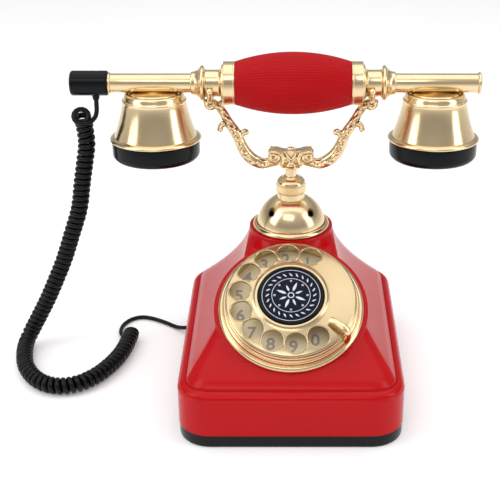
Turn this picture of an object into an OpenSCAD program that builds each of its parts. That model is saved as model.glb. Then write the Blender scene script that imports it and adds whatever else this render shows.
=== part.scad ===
// Desk telephone with a turned-metal handset, a spring cradle and a rotary dial.
// Origin: middle of the base underside. +X is the telephone's right as seen from the front,
// -Y is the front, +Z is up. Millimetres.

/* [Base] */
// Width of the housing
base_w = 150; // [135:1:182]
// Depth of the housing
base_d = 184; // [170:1:225]
// Radius of the upright corners
corner_r = 22; // [16:1:28]
// Height of the base pan
pan_h = 9.5; // [9:0.5:14]
// Wall thickness of the base pan
pan_wall = 3; // [2:0.5:4]
// Floor thickness of the base pan
pan_floor = 2.5; // [2:0.5:3.5]
// How far the pan stands back from the housing
pan_inset = 0.5; // [0:0.5:2]
// Diameter of the rubber pads
pad_d = 14; // [8:1:20]

/* [Housing] */
// Height at which the upright skirt ends
skirt_top = 36.3; // [32:0.1:38]
// Height of the foot of the slopes
foot_z = 44.4; // [43:0.1:46]
// Width of the shoulder round the foot of the slopes
shoulder_w = 8; // [5:0.5:9]
// Wall thickness of the housing
shell_wall = 2.8; // [2:0.1:3.5]
// Height of the top of the neck
neck_top = 103.4; // [100:0.1:112]
// Radius of the neck
neck_r = 29.4; // [27:0.1:32]
// Distance of the neck behind the middle
neck_y = 34; // [33:1:42]
// Hollowness of the sloping sides
side_curve = 1.5; // [1:0.05:1.8]

/* [Dial] */
// Slope of the dial's face from level
face_slope = 31; // [29:1:33]
// Dial centre, front to back
dial_y = -35; // [-37:1:-34]
// Dial centre, height
dial_z = 73.5; // [73:0.1:74]
// Outer radius of the bezel
bezel_r = 49; // [47:0.5:50]
// Radius of the opening under the bezel
opening_r = 46; // [44:0.5:46.5]
// Radius of the finger wheel
wheel_r = 43.6; // [40:0.1:44]
// Height of the wheel's rim above the face
wheel_lift = 11.8; // [11.5:0.1:14]
// Radius of a finger hole
hole_r = 7.1; // [6:0.1:7.4]
// Radius of the circle of finger holes
hole_circle_r = 34.3; // [33.5:0.1:35]
// Angle between finger holes
hole_pitch = 26; // [25:0.5:27]
// Angle of the first hole, clockwise from the top
first_hole = 22.5; // [20:0.5:30]
// Angle of the finger stop, clockwise from the top
stop_angle = 126; // [120:1:130]
// Radius of the badge
badge_r = 21.7; // [16:0.1:22]

/* [Neck and plunger] */
// Outer radius of the neck ring
ring_r = 27.1; // [26:0.1:28]
// Radius of the dome
dome_r = 24.5; // [22:0.1:25]
// Wall thickness of the dome
dome_wall = 1.4; // [1:0.1:2.5]
// Radius of the knurled nut
nut_r = 10.4; // [9:0.1:13]
// Radius of the plunger
stem_r = 4; // [3:0.1:4.5]
// Running clearance of the plunger and the shafts
run_gap = 0.05; // [0.02:0.01:0.09]
// Travel of the plunger
hook_travel = 4; // [3:0.5:5]

/* [Cradle] */
// Height of the cradle's foot
cradle_z = 148; // [147:0.5:150]
// Distance of each fork from the middle
fork_x = 54.4; // [53:0.1:57]
// Thickness of a fork prong
prong_t = 4.6; // [3:0.1:5.5]
// Depth of the cradle's centre block
block_d = 9; // [6:0.5:12]
// Width of a cradle arm
arm_w = 6.6; // [4:0.1:8]

/* [Handset] */
// Height of the handset's axis
handset_z = 208.4; // [207:0.1:214]
// How far the handset lies to the right
handset_x = 1.5; // [-1.5:0.5:1.5]
// Turn of the handset about its axis
handset_turn = 4.3; // [0:0.1:6]
// Length of the grip
grip_len = 78.4; // [70:0.1:82]
// Radius of the grip at the middle
grip_mid_r = 20.9; // [18:0.1:22]
// Radius of the grip at its ends
grip_end_r = 14.5; // [13:0.1:16]
// Length of a ferrule
ferrule_len = 7.7; // [5:0.1:8]
// Radius of the waist that lies in a fork
waist_r = 9; // [8:0.1:10]
// Radius of the collar's bead
bead_r = 12.1; // [11:0.1:14]
// Radius of the tubes
tube_r = 6.5; // [6:0.1:7.5]
// Wall thickness of the tubes
tube_wall = 1.3; // [1:0.1:2]
// Reach of the right tube from the middle
right_reach = 124.2; // [122:0.1:140]
// Reach of the left tube from the middle
left_reach = 122.9; // [122:0.1:140]
// Length of the end cap that the cord leaves
cord_cap_len = 25.5; // [20:0.1:32]
// Radius of that end cap
cord_cap_r = 8.4; // [8:0.1:10]
// Distance of the ear cup from the middle, on the left
ear_x = 94.2; // [93:0.1:96]
// Distance of the mouth cup from the middle, on the right
mouth_x = 96; // [93:0.1:97]
// Radius of a cup's rim
rim_r = 31.4; // [28:0.1:33]
// Depth of a cup from the tube's axis to its rim
cup_depth = 38; // [36:0.1:44]
// Depth of the black cap on a cup
cap_depth = 13.5; // [10:0.5:14]

/* [Cord] */
// Outer diameter of the curly cord
curl_d = 12.6; // [10:0.2:14]
// Diameter of the cord's wire
lead_d = 3.2; // [2.6:0.2:3.6]

/* [Hidden] */

$fn = 64;
eps = 0.01;
// Gap between pieces that must stay clear of each other
clear = 0.3;

red = "#c8161d";
gold = "#d9b26b";
steel = "#9aa0a6";
brass = "#b8924a";
black = "#1c1c1e";

// ---- shared shapes ----

// Outline of a rectangle from y0 to y1 with round corners, front and back radii apart
function corner_points(cx, cy, r, from, steps = 8) =
    [for (i = [0:steps]) [cx + r * cos(from + 90 * i / steps), cy + r * sin(from + 90 * i / steps)]];
function round_outline(hx, y0, y1, rf, rb) = concat(
    corner_points(hx - rf, y0 + rf, rf, -90),
    corner_points(hx - rb, y1 - rb, rb, 0),
    corner_points(rb - hx, y1 - rb, rb, 90),
    corner_points(rf - hx, y0 + rf, rf, 180));

// Turns an upright shape to lie along X
module along_x() {
    rotate([0, 90, 0]) children();
}

// Plate with round corners
module round_plate(w, d, r, h) {
    linear_extrude(h) polygon(round_outline(w / 2, -d / 2, d / 2, r, r));
}

// Ring or tube standing on z0
module ring(r_out, r_in, z0, z1) {
    translate([0, 0, z0]) difference() {
        cylinder(r = r_out, h = z1 - z0);
        translate([0, 0, -1]) cylinder(r = r_in, h = z1 - z0 + 2);
    }
}

// Solid of stacked outlines, each a list of the same number of 3-D points
module skin(rings) {
    n = len(rings[0]);
    m = len(rings);
    faces = concat(
        [[for (i = [0:n - 1]) i]],
        [for (k = [0:m - 2]) for (i = [0:n - 1])
            [k * n + i, (k + 1) * n + i, (k + 1) * n + (i + 1) % n, k * n + (i + 1) % n]],
        [[for (i = [0:n - 1]) m * n - 1 - i]]);
    polyhedron(points = [for (r = rings) each r], faces = faces, convexity = 6);
}

// Tube swept along a route: one ring of sides points square to the route at each point
function unit(v) = v / norm(v);
function route_dir(p, i) = unit(p[min(i + 1, len(p) - 1)] - p[max(i - 1, 0)]);
// Frame carried along the route from one point to the next without twisting
function carry(p, i, side) = let (d = route_dir(p, i), s = side - d * (side * d)) unit(s);
function side_at(p, i) = i == 0 ? carry(p, 0, [0, 1, 0.1]) : carry(p, i, side_at(p, i - 1));
function ring_at(c, d, s, r, sides) = let (t = cross(d, s))
    [for (k = [0:sides - 1]) c + r * (cos(360 * k / sides) * s + sin(360 * k / sides) * t)];
module sweep(p, r, sides) {
    skin([for (i = [0:len(p) - 1]) ring_at(p[i], route_dir(p, i), side_at(p, i), r, sides)]);
}

function pick(p, i) = p[max(0, min(len(p) - 1, i))];

// Spur gear blank with trapezoid teeth, thinned for backlash
module gear(teeth, mod, h, bore) {
    pr = teeth * mod / 2;
    pitch = 360 / teeth;
    pts = [for (i = [0:teeth - 1]) for (q = [[-0.36, -1.15], [-0.13, 0.9], [0.13, 0.9], [0.36, -1.15]])
        let (a = (i + q[0]) * pitch, r = pr + q[1] * mod) [r * cos(a), r * sin(a)]];
    difference() {
        linear_extrude(h) polygon(pts);
        translate([0, 0, -1]) cylinder(r = bore, h = h + 2);
    }
}

// Flat strip of half width w along 2-D points
function strip_normal(p, i) = let (d = unit(pick(p, i + 1) - pick(p, i - 1))) [-d[1], d[0]];
function strip_outline(p, w) = concat(
    [for (i = [0:len(p) - 1]) p[i] + w * strip_normal(p, i)],
    [for (i = [len(p) - 1:-1:0]) p[i] - w * strip_normal(p, i)]);

// ---- base pan and what stands on it ----

pan_w = base_w - 2 * pan_inset;
pan_d = base_d - 2 * pan_inset;
pan_r = corner_r - pan_inset;
boss_x = base_w / 2 - 15;
boss_y = base_d / 2 - 16;
boss_r = 4.5;
screw_r = 1.6;
// Clearance round a screw
screw_gap = 0.2;
pad_x = base_w / 2 - 28;
pad_y = base_d / 2 - 16;
pad_t = 1.5;
// The four corners, as signs of X and Y
corners = [[-1, -1], [1, -1], [-1, 1], [1, 1]];

// Where the cord enters: a grommet low in the pan's left side
grommet_y = 54;
grommet_z = 5.6;
grommet_r = 2.8;

module base_pan() {
    color(black) difference() {
        round_plate(pan_w, pan_d, pan_r, pan_h);
        translate([0, 0, pan_floor])
            round_plate(pan_w - 2 * pan_wall, pan_d - 2 * pan_wall, pan_r - pan_wall, pan_h);
        for (s = corners) translate([s[0] * boss_x, s[1] * boss_y, -1])
            cylinder(r = screw_r + screw_gap, h = pan_h);
        for (s = corners) translate([s[0] * pad_x, s[1] * pad_y, -1]) cylinder(d = pad_d, h = 1 + pad_t);
        translate([-base_w / 2 - 2, grommet_y, grommet_z]) along_x() cylinder(r = grommet_r, h = 4 * pan_wall);
    }
}

module rubber_pads() {
    color("#2b2b2b") for (s = corners) translate([s[0] * pad_x, s[1] * pad_y, 0])
        cylinder(d = pad_d, h = pad_t);
}

screw_bottom = 0.5;
screw_len = 12;
screw_head_r = 2.9;
screw_head_t = 1.2;
module pan_screws() {
    color(steel) for (s = corners) translate([s[0] * boss_x, s[1] * boss_y, 0]) {
        translate([0, 0, screw_bottom]) cylinder(r = screw_r, h = screw_len);
        translate([0, 0, pan_floor]) cylinder(r = screw_head_r, h = screw_head_t);
    }
}

ballast_w = 104;
ballast_d = 56;
ballast_t = 4;
ballast_corner = 5;
ballast_front = 12;
module ballast_plate() {
    color(steel) translate([0, -base_d / 2 + ballast_front + ballast_d / 2, pan_floor])
        round_plate(ballast_w, ballast_d, ballast_corner, ballast_t);
}

// Lips of the grommet outside and inside the pan's wall
grommet_out = 2.5;
grommet_lip = 1.5;
module cord_grommet() {
    color("#151515") translate([-base_w / 2, grommet_y, grommet_z]) along_x() difference() {
        union() {
            translate([0, 0, pan_inset]) cylinder(r = grommet_r, h = pan_wall);
            translate([0, 0, -grommet_out])
                cylinder(r1 = grommet_r - 0.4, r2 = grommet_r + 0.6, h = grommet_out + pan_inset);
            translate([0, 0, pan_wall + pan_inset]) cylinder(r = grommet_r + 0.3, h = grommet_lip);
        }
        translate([0, 0, 1 - grommet_out]) cylinder(r = lead_d / 2 - 0.2, h = 10);
    }
}

// ---- housing ----

// The face is a plane that rises at face_slope; this is its y at a height
function face_y(z) = dial_y + (z - dial_z) / tan(face_slope);
// Half width, back and corner radius of the slopes at their foot, then the front and back of the neck
slope_hx = base_w / 2 - shoulder_w;
slope_back = base_d / 2 - shoulder_w;
foot_r = corner_r - shoulder_w;
neck_front = neck_y - neck_r;
neck_back = neck_y + neck_r;
// Radius of the crease between the face and the flanks
crease_r = 7;
// Height below the end of the face from which the crease opens out into the neck
crease_run = 8;
face_end = dial_z + (neck_front - dial_y) * tan(face_slope);
crease_end = face_end - crease_run;
function mix(a, b, t) = a + (b - a) * t;
// Share of the way from the neck's outline down to the foot's
function up_share(z) = pow((neck_top - z) / (neck_top - foot_z), side_curve);
// How round the front corners are: creased along the face, a full circle at the neck
function front_round(z) = z < crease_end ? mix(foot_r, crease_r, (z - foot_z) / (crease_end - foot_z))
    : mix(crease_r, neck_r, min(1, (z - crease_end) / (neck_top - 2 - crease_end)));
function slope_outline(z, in, face_in) = let (
    hx = mix(neck_r, slope_hx, up_share(z)) - in,
    yf = min(face_y(z), neck_front) + (z < face_end ? face_in : in),
    yb = mix(neck_back, slope_back, up_share(z)) - in,
    rf = min(front_round(z), (yb - yf) / 2, hx) - in / 2,
    rb = min(mix(neck_r, foot_r, up_share(z)) - in / 2, (yb - yf) / 2, hx))
    [for (q = round_outline(hx, yf, yb, max(2, rf), rb)) [q[0], q[1], z]];
function skirt_outline(z, in) = [for (q = round_outline(base_w / 2 - in, in - base_d / 2, base_d / 2 - in,
    corner_r - in, corner_r - in)) [q[0], q[1], z]];
slope_steps = 14;
slope_heights = [for (i = [0:slope_steps]) mix(foot_z, neck_top, i / slope_steps)];
// The shoulder turns in from the skirt over this share of the rise to the slopes
shoulder_share = 0.6;
shoulder_steps = 3;
shoulder_in = shoulder_w - 3;
function shoulder_z(t) = mix(skirt_top, foot_z, shoulder_share * sin(90 * t));
module housing_outer() {
    skin(concat(
        [skirt_outline(pan_h, 0), skirt_outline(skirt_top, 0)],
        [for (i = [1:shoulder_steps]) let (t = i / shoulder_steps)
            skirt_outline(shoulder_z(t), shoulder_in * (1 - cos(90 * t)))],
        [for (z = slope_heights) slope_outline(z, 0, 0)]));
}
face_wall = 3;
// Thickness of the neck's roof
roof = 4;
module housing_inner() {
    drop = 2;
    slope_wall = shell_wall + 0.6;
    skin(concat(
        [skirt_outline(pan_h - 1, shell_wall), skirt_outline(skirt_top - drop, shell_wall)],
        [skirt_outline(shoulder_z(1) - drop, shoulder_w)],
        [for (z = slope_heights) if (z < neck_top - roof)
            slope_outline(z + eps, slope_wall, face_wall / sin(face_slope))]));
}
// Flat round seat of the dial, a little wider than the bezel
pad_ring_r = bezel_r + 3;

module in_dial() {
    translate([0, dial_y, dial_z]) rotate([face_slope, 0, 0]) children();
}
module in_neck() {
    translate([0, neck_y, 0]) children();
}

// Line jack, at the back on the right
jack_x = 44;
jack_w = 16;
jack_h = 14;
jack_d = 15;
jack_z = pan_h + 3;
jack_hole_w = 11.8;
jack_hole_h = 7.4;
jack_depth = 11;

guide_r = 6.5;
boss_bottom = pan_floor + 1.5;
boss_len = skirt_top - pan_floor - 4;
rib_t = 2.4;
rib_len = 15 - shell_wall / 2;
// Well below the face for the dial's works, and the pocket above it for the bezel
well_depth = 14;
pocket_h = 18;
module screw_boss(s) {
    translate([s[0] * boss_x, s[1] * boss_y, boss_bottom]) cylinder(r = boss_r, h = boss_len);
    translate([s[0] * boss_x - (s[0] > 0 ? 0 : rib_len), s[1] * boss_y - rib_t / 2, pan_h + 1])
        cube([rib_len, rib_t, skirt_top - pan_h - 6]);
}
module housing() {
    color(red) difference() {
        union() {
            difference() {
                union() {
                    housing_outer();
                    in_dial() translate([0, 0, -face_wall]) cylinder(r = pad_ring_r, h = face_wall);
                }
                housing_inner();
            }
            for (s = corners) screw_boss(s);
        }
        in_dial() translate([0, 0, -well_depth]) cylinder(r = opening_r, h = well_depth + 1);
        in_dial() cylinder(r = bezel_r + clear, h = pocket_h);
        in_neck() translate([0, 0, neck_top - 14]) cylinder(r = guide_r + 0.1, h = 20);
        for (s = corners) translate([s[0] * boss_x, s[1] * boss_y, 0]) cylinder(r = screw_r + 0.1, h = 16);
        translate([jack_x - jack_w / 2 - 0.1, base_d / 2 - 8, jack_z - 0.1])
            cube([jack_w + 0.2, 12, jack_h + 0.2]);
    }
}

module line_jack() {
    color("#e8e4da") translate([jack_x, base_d / 2, jack_z]) difference() {
        translate([-jack_w / 2, -jack_d, 0]) cube([jack_w, jack_d, jack_h]);
        translate([-jack_hole_w / 2, -jack_depth, (jack_h - jack_hole_h) / 2])
            cube([jack_hole_w, jack_depth + 1, jack_hole_h]);
    }
}

// ---- neck ----

dome_z = neck_top - 0.6;
collar_r = 9.5;
flange_t = 2;
flange_r = dome_r - 6;
nut_z = neck_top + 25.8;
nut_h = 6.5;
nut_shoulder = 3.6;
dome_top = dome_z + sqrt(dome_r * dome_r - 100);

module neck_ring() {
    color(gold) in_neck() rotate_extrude() polygon([
        [dome_r - 2, neck_top], [ring_r - 0.6, neck_top], [ring_r, neck_top + 0.8],
        [ring_r - 0.2, neck_top + 2], [ring_r - 1.2, neck_top + 3.2], [dome_r + 0.2, neck_top + 3.8],
        [dome_r - 0.2, neck_top + 3], [dome_r - 2, neck_top + 3]]);
}

// Four vents round the dome, each this far from upright
vent_r = 2.4;
vent_tilt = 52.5;
module dome() {
    color(gold) in_neck() difference() {
        union() {
            intersection() {
                translate([0, 0, dome_z]) difference() {
                    sphere(r = dome_r);
                    sphere(r = dome_r - dome_wall);
                }
                translate([0, 0, neck_top + 3]) cylinder(r = dome_r + 5, h = 40);
            }
            translate([0, 0, dome_top - 0.8]) cylinder(r = collar_r, h = nut_z - dome_top + 0.8);
        }
        translate([0, 0, dome_z]) cylinder(r = guide_r, h = 40);
        for (a = [45:90:315]) translate([0, 0, dome_z]) rotate([0, vent_tilt, a]) cylinder(r = vent_r, h = 40);
    }
}

guide_bottom = 81;
guide_top = nut_z + 4;
module neck_guide() {
    color(brass) in_neck() difference() {
        union() {
            translate([0, 0, guide_bottom]) cylinder(r = guide_r, h = guide_top - guide_bottom);
            translate([0, 0, neck_top]) cylinder(r = flange_r, h = flange_t);
        }
        translate([0, 0, guide_bottom - 1]) cylinder(r = stem_r + run_gap, h = 60);
    }
}

locknut_h = 4.3;
locknut_z = neck_top - 10.8;
module guide_locknut() {
    color(steel) in_neck() translate([0, 0, locknut_z]) difference() {
        cylinder(r = 10.5, h = locknut_h, $fn = 6);
        translate([0, 0, -1]) cylinder(r = guide_r, h = 10);
    }
}

module knurled_nut() {
    color(gold) in_neck() difference() {
        union() {
            translate([0, 0, nut_z]) cylinder(r = nut_r, h = nut_h, $fn = 48);
            translate([0, 0, nut_z + nut_h]) cylinder(r1 = nut_r - 0.4, r2 = nut_r - 3.4, h = nut_shoulder);
            translate([0, 0, nut_z + nut_h + nut_shoulder - eps])
                cylinder(r1 = nut_r - 4.4, r2 = stem_r + 0.9, h = 1.2);
        }
        translate([0, 0, nut_z - 1]) cylinder(r = guide_r, h = 1 + guide_top - nut_z);
        translate([0, 0, nut_z]) cylinder(r = stem_r + 0.2, h = 20);
    }
}

// ---- plunger and hook switch ----

clip_z = guide_bottom - hook_travel - 2.8;
clip_t = 2;
clip_r = 7;
bracket_top = 60;
bracket_t = 2;
bracket_y = -7;
leg_x = 16;
leg_d = 14;
ear_d = 21;
foot_w = 8;
stem_bottom = 52;

module plunger() {
    color(gold) in_neck() {
        translate([0, 0, stem_bottom]) cylinder(r = stem_r, h = cradle_z - stem_bottom);
        translate([0, 0, clip_z]) cylinder(r = clip_r, h = clip_t);
    }
}

module hook_spring() {
    coil_r = stem_r + 1.5;
    wire_r = 0.5;
    z0 = bracket_top + wire_r + 0.2;
    z1 = clip_z - wire_r - 0.2;
    turns = 5;
    steps = 12 * turns;
    color(steel) in_neck() sweep([for (i = [0:steps]) let (a = 360 * turns * i / steps)
        [coil_r * cos(a), coil_r * sin(a), mix(z0, z1, i / steps)]], wire_r, 6);
}

// Lever under the plunger: pivots on a pin across the bracket
lever_arm = 26;
lever_back = 11;
lever_z = 47;
lever_w = 8;
lever_t = 2;
lever_hub_r = 3.2;
pin_r = 1.5;
module hook_bracket() {
    color(steel) in_neck() difference() {
        union() {
            translate([-leg_x - bracket_t, bracket_y, bracket_top - bracket_t])
                cube([2 * (leg_x + bracket_t), ear_d, bracket_t]);
            for (s = [0, 1]) mirror([s, 0, 0]) {
                translate([leg_x, bracket_y, pan_floor]) cube([bracket_t, leg_d, bracket_top - pan_floor]);
                translate([leg_x, bracket_y, lever_z - 5]) cube([bracket_t, ear_d, bracket_top - lever_z + 5]);
                translate([leg_x, bracket_y, pan_floor]) cube([foot_w, leg_d, bracket_t]);
            }
            translate([-leg_x - 1, lever_back, lever_z]) along_x() cylinder(r = pin_r, h = 2 * leg_x + 2);
        }
        translate([0, 0, bracket_top - 5]) cylinder(r = stem_r + run_gap, h = 10);
    }
}

module hook_lever() {
    toe = 3;
    color(brass) in_neck() difference() {
        union() {
            translate([-lever_w / 2, lever_back, lever_z]) along_x() cylinder(r = lever_hub_r, h = lever_w);
            translate([-lever_w / 2, lever_back - lever_arm, lever_z - lever_t / 2])
                cube([lever_w, lever_arm, lever_t]);
            translate([-toe / 2, -toe / 2, lever_z]) cube([toe, toe, stem_bottom - lever_z - clear]);
        }
        translate([-lever_w, lever_back, lever_z]) along_x() cylinder(r = pin_r + run_gap, h = 2 * lever_w);
    }
}

// Block with three contact blades in front of the lever's tip
module hook_contacts() {
    block_y = -26;
    block_w = 12;
    block_t = 6;
    blade_pitch = 4;
    lowest = lever_z - 9.8;
    color("#c9b184") in_neck() {
        translate([-block_w / 2, block_y, pan_floor]) cube([block_w, block_t, 44]);
        for (k = [0:2]) translate([-5 + blade_pitch * k, block_y + block_t - 0.1, lowest + blade_pitch * k])
            cube([2.4, 9, 0.5]);
    }
}

// ---- ringer ----

gong_x = 25;
gong_y = 62;
gong_r = 18;
gong_z = 14;
gong_h = 9;
clapper_y = 46;
clapper_z = 18;

frame_t = 1.6;
frame_x = 42;
frame_y = 48;
frame_d = 22;
arm_d = 46;
clapper_hub_r = 3.6;
clapper_pin_r = 2;
module ringer_frame() {
    post_r = 3;
    arm_widths = [[-frame_x, 17.4], [frame_x - 17.4, 17.4]];
    color(steel) difference() {
        union() {
            for (a = arm_widths) translate([a[0], frame_y - 22, pan_floor]) cube([a[1], arm_d, frame_t]);
            translate([-frame_x, frame_y, pan_floor]) cube([2 * frame_x, frame_d, frame_t]);
            translate([-6, clapper_y - 3, pan_floor]) cube([12, 8, frame_t]);
            for (s = [-1, 1]) translate([s * gong_x, gong_y, pan_floor])
                cylinder(r = post_r, h = gong_z + gong_h - pan_floor);
            translate([0, clapper_y, pan_floor]) cylinder(r = clapper_pin_r, h = clapper_z + 5 - pan_floor);
        }
        for (s = [-1, 1]) translate([s * (frame_x - 8), frame_y - 16, 0]) cylinder(r = screw_r, h = 10);
    }
}

module gong(s) {
    wall = 1.2;
    crown = 4;
    skirt = gong_h - crown;
    color(brass) translate([s * gong_x, gong_y, gong_z]) difference() {
        union() {
            cylinder(r1 = gong_r, r2 = gong_r - 1, h = skirt);
            translate([0, 0, skirt]) cylinder(r1 = gong_r - 1, r2 = gong_r - 7, h = crown);
        }
        translate([0, 0, -1]) cylinder(r = gong_r - 1 - wall, h = skirt);
        translate([0, 0, skirt - 1 - eps]) cylinder(r1 = gong_r - 1 - wall, r2 = gong_r - 7, h = crown);
        translate([0, 0, -1]) cylinder(r = 3, h = 20);
    }
}
module gong_left() gong(-1);
module gong_right() gong(1);

module clapper() {
    arm = 1.8;
    color(steel) translate([0, clapper_y, clapper_z]) difference() {
        union() {
            cylinder(r = clapper_hub_r, h = 4);
            translate([-arm / 2, 2, 1]) cube([arm, gong_y - clapper_y - 2, arm]);
            translate([0, gong_y - clapper_y, 1 + arm / 2]) sphere(r = 3);
        }
        translate([0, 0, -1]) cylinder(r = clapper_pin_r + run_gap, h = 8);
    }
}

module ringer_coil() {
    coil_x = -42;
    coil_y = 8;
    coil_z = 14;
    coil_len = 22;
    cheek_t = 2.02;
    color("#8c3b1e") translate([coil_x, coil_y, coil_z]) {
        along_x() translate([0, 0, -coil_len / 2]) cylinder(r = 7.5, h = coil_len);
        for (s = [-1, 1]) along_x() translate([0, 0, s * 12 - cheek_t / 2]) cylinder(r = 9.5, h = cheek_t);
        translate([-13, -9, pan_floor - coil_z]) cube([26, 18, 3]);
    }
}

module circuit_board() {
    board_x = 50;
    board_y = -14;
    board_w = 18;
    board_d = 84;
    board_t = 1.6;
    rise = 5;
    color("#2f6b3c") {
        translate([board_x, board_y, pan_floor + rise]) cube([board_w, board_d, board_t]);
        for (y = [board_y + 4, board_y + board_d - 4]) translate([board_x + board_w / 2, y, pan_floor])
            cylinder(r = 2.5, h = rise + 0.1);
        for (k = [0:3]) translate([board_x + 3, 4 + 14 * k, pan_floor + rise + board_t - 0.1])
            cube([11, 8, rise + k]);
    }
}

// ---- dial ----

// Heights below are above the face, along the dial's axis
plate_z = -3;
plate_t = 1.5;
sleeve_r = opening_r - 1.6;
sleeve_in = sleeve_r - 1.8;
number_z = 3;
number_t = 1.2;
shaft_r = 4;
shaft_bottom = -23.5;
back_z = -24;
back_t = 2;
back_r = 40;
bezel_h = wheel_lift - 1.4;
main_teeth = 60;
main_mod = 0.9;
main_z = -8.5;
main_t = 1.6;
pinion_teeth = 12;
wheel_teeth = 48;
fine_mod = 0.6;
mesh_gap = 0.12;
idler_angle = 210;
idler_dist = (main_teeth + pinion_teeth) * main_mod / 2 + mesh_gap;
idler_xy = idler_dist * [cos(idler_angle), sin(idler_angle)];
governor_dist = (wheel_teeth + pinion_teeth) * fine_mod / 2 + mesh_gap;
governor_angle = 320;
governor_xy = idler_xy + governor_dist * [cos(governor_angle), sin(governor_angle)];
idler_shaft_r = 2;
governor_shaft_r = 1.5;
pillar_angles = [75, 285, 0];

// Foot of the finger stop, let into the bezel
stop_foot = bezel_r - 2.6;
stop_z = 3.2;
stop_w = 4.4;
stop_t = 1.4;
module stop_leg(h) {
    translate([stop_foot - 0.7, -stop_w / 2, stop_z]) cube([1.6, stop_w, h]);
}

module dial_bezel() {
    color(gold) in_dial() difference() {
        rotate_extrude() polygon([
            [sleeve_in, plate_z + plate_t], [sleeve_r, plate_z + plate_t], [sleeve_r, 0], [bezel_r, 0],
            [bezel_r - 0.2, 1], [bezel_r - 2.2, 3.4], [bezel_r - 2.8, 3], [bezel_r - 3.2, 6.6],
            [sleeve_r + 0.2, 7.6], [sleeve_r - 0.3, 7.2], [sleeve_r - 0.4, bezel_h - 0.4],
            [sleeve_r - 0.9, bezel_h], [sleeve_in, bezel_h]]);
        rotate([0, 0, 90 - stop_angle]) stop_leg(12);
    }
}

module finger_stop() {
    blade_in = hole_circle_r - 7;
    blade_z = wheel_lift + 6;
    blade_w = stop_w - 0.4;
    color(gold) in_dial() rotate([0, 0, 90 - stop_angle]) {
        stop_leg(blade_z - stop_z + stop_t);
        translate([blade_in, -blade_w / 2, blade_z]) cube([stop_foot - blade_in, blade_w, stop_t]);
    }
}

module number_plate() {
    color("#e6d3a4") in_dial() ring(sleeve_in - 0.1, 14, number_z, number_z + number_t);
}

// Bores of the dial's three shafts through a plate
module shaft_bores(z) {
    translate([0, 0, z]) cylinder(r = shaft_r + run_gap, h = 12);
    translate([idler_xy[0], idler_xy[1], z]) cylinder(r = idler_shaft_r + run_gap, h = 12);
    translate([governor_xy[0], governor_xy[1], z]) cylinder(r = governor_shaft_r + run_gap, h = 12);
}

module dial_front_plate() {
    color(steel) in_dial() difference() {
        union() {
            translate([0, 0, plate_z]) cylinder(r = sleeve_r, h = plate_t);
            ring(sleeve_in - 0.1, sleeve_in - 3.5, plate_z + plate_t - eps, number_z);
            translate([0, 0, plate_z]) cylinder(r = 2 * shaft_r, h = 5);
        }
        shaft_bores(plate_z - 1);
    }
}

pillar_r = 2.5;
anchor_angle = 40;
anchor_x = 17.5;
module dial_back_plate() {
    color(steel) in_dial() difference() {
        union() {
            translate([0, 0, back_z]) cylinder(r = back_r, h = back_t);
            for (a = pillar_angles) rotate([0, 0, a]) translate([back_r - 4, 0, back_z])
                cylinder(r = pillar_r, h = plate_z - back_z);
            // Anchor post of the mainspring
            rotate([0, 0, anchor_angle]) translate([anchor_x, 0, back_z]) cylinder(r = 1.2, h = 14);
        }
        shaft_bores(back_z - 1);
    }
}

module mainspring() {
    inner = shaft_r + 0.8;
    outer = anchor_x - 1.6;
    turns = 4;
    n = 24 * turns;
    spiral = [for (i = [0:n]) let (a = anchor_angle + 360 * turns * (i - n) / n, r = mix(inner, outer, i / n))
        [r * cos(a), r * sin(a)]];
    color("#4a5562") in_dial() translate([0, 0, back_z + 9]) linear_extrude(4)
        polygon(strip_outline(spiral, 0.35));
}

module pulse_contacts() {
    block_x = 22;
    blade = 1.2;
    color("#c9b184") in_dial() rotate([0, 0, 140]) translate([0, 0, back_z + back_t]) {
        translate([block_x, -5, 0]) cube([6, 10, 8]);
        for (k = [0, 1]) translate([cam_r + 0.8, 4 * k - 3, 3])
            cube([block_x - cam_r - 0.6, blade, blade]);
    }
}

// The wheel's hub under the badge
hub_r = 10;
hub_z = 5;
stud_r = 2.5;
module dial_shaft() {
    color(steel) in_dial() {
        translate([0, 0, shaft_bottom]) cylinder(r = shaft_r, h = wheel_lift - shaft_bottom);
        translate([0, 0, hub_z]) cylinder(r = hub_r, h = badge_seat - wheel_t - hub_z);
        translate([0, 0, wheel_lift]) cylinder(r = stud_r, h = 4);
    }
}

module main_gear() {
    color(brass) in_dial() {
        translate([0, 0, main_z]) gear(main_teeth, main_mod, main_t, shaft_r);
        ring(9, shaft_r, main_z + main_t - eps, plate_z - 0.4);
    }
}

cam_r = 12.4;
module pulse_cam() {
    lobes = 10;
    low_r = cam_r - 1.4;
    pts = [for (i = [0:lobes - 1]) for (q = [[0, low_r], [0.3, cam_r], [0.6, cam_r], [0.9, low_r]])
        let (a = 20 + (i + q[0]) * 300 / lobes) [q[1] * cos(a), q[1] * sin(a)]];
    color("#8a2f24") in_dial() translate([0, 0, back_z + back_t + 1]) difference() {
        linear_extrude(3) polygon(pts);
        translate([0, 0, -1]) cylinder(r = shaft_r, h = 6);
    }
}

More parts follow.
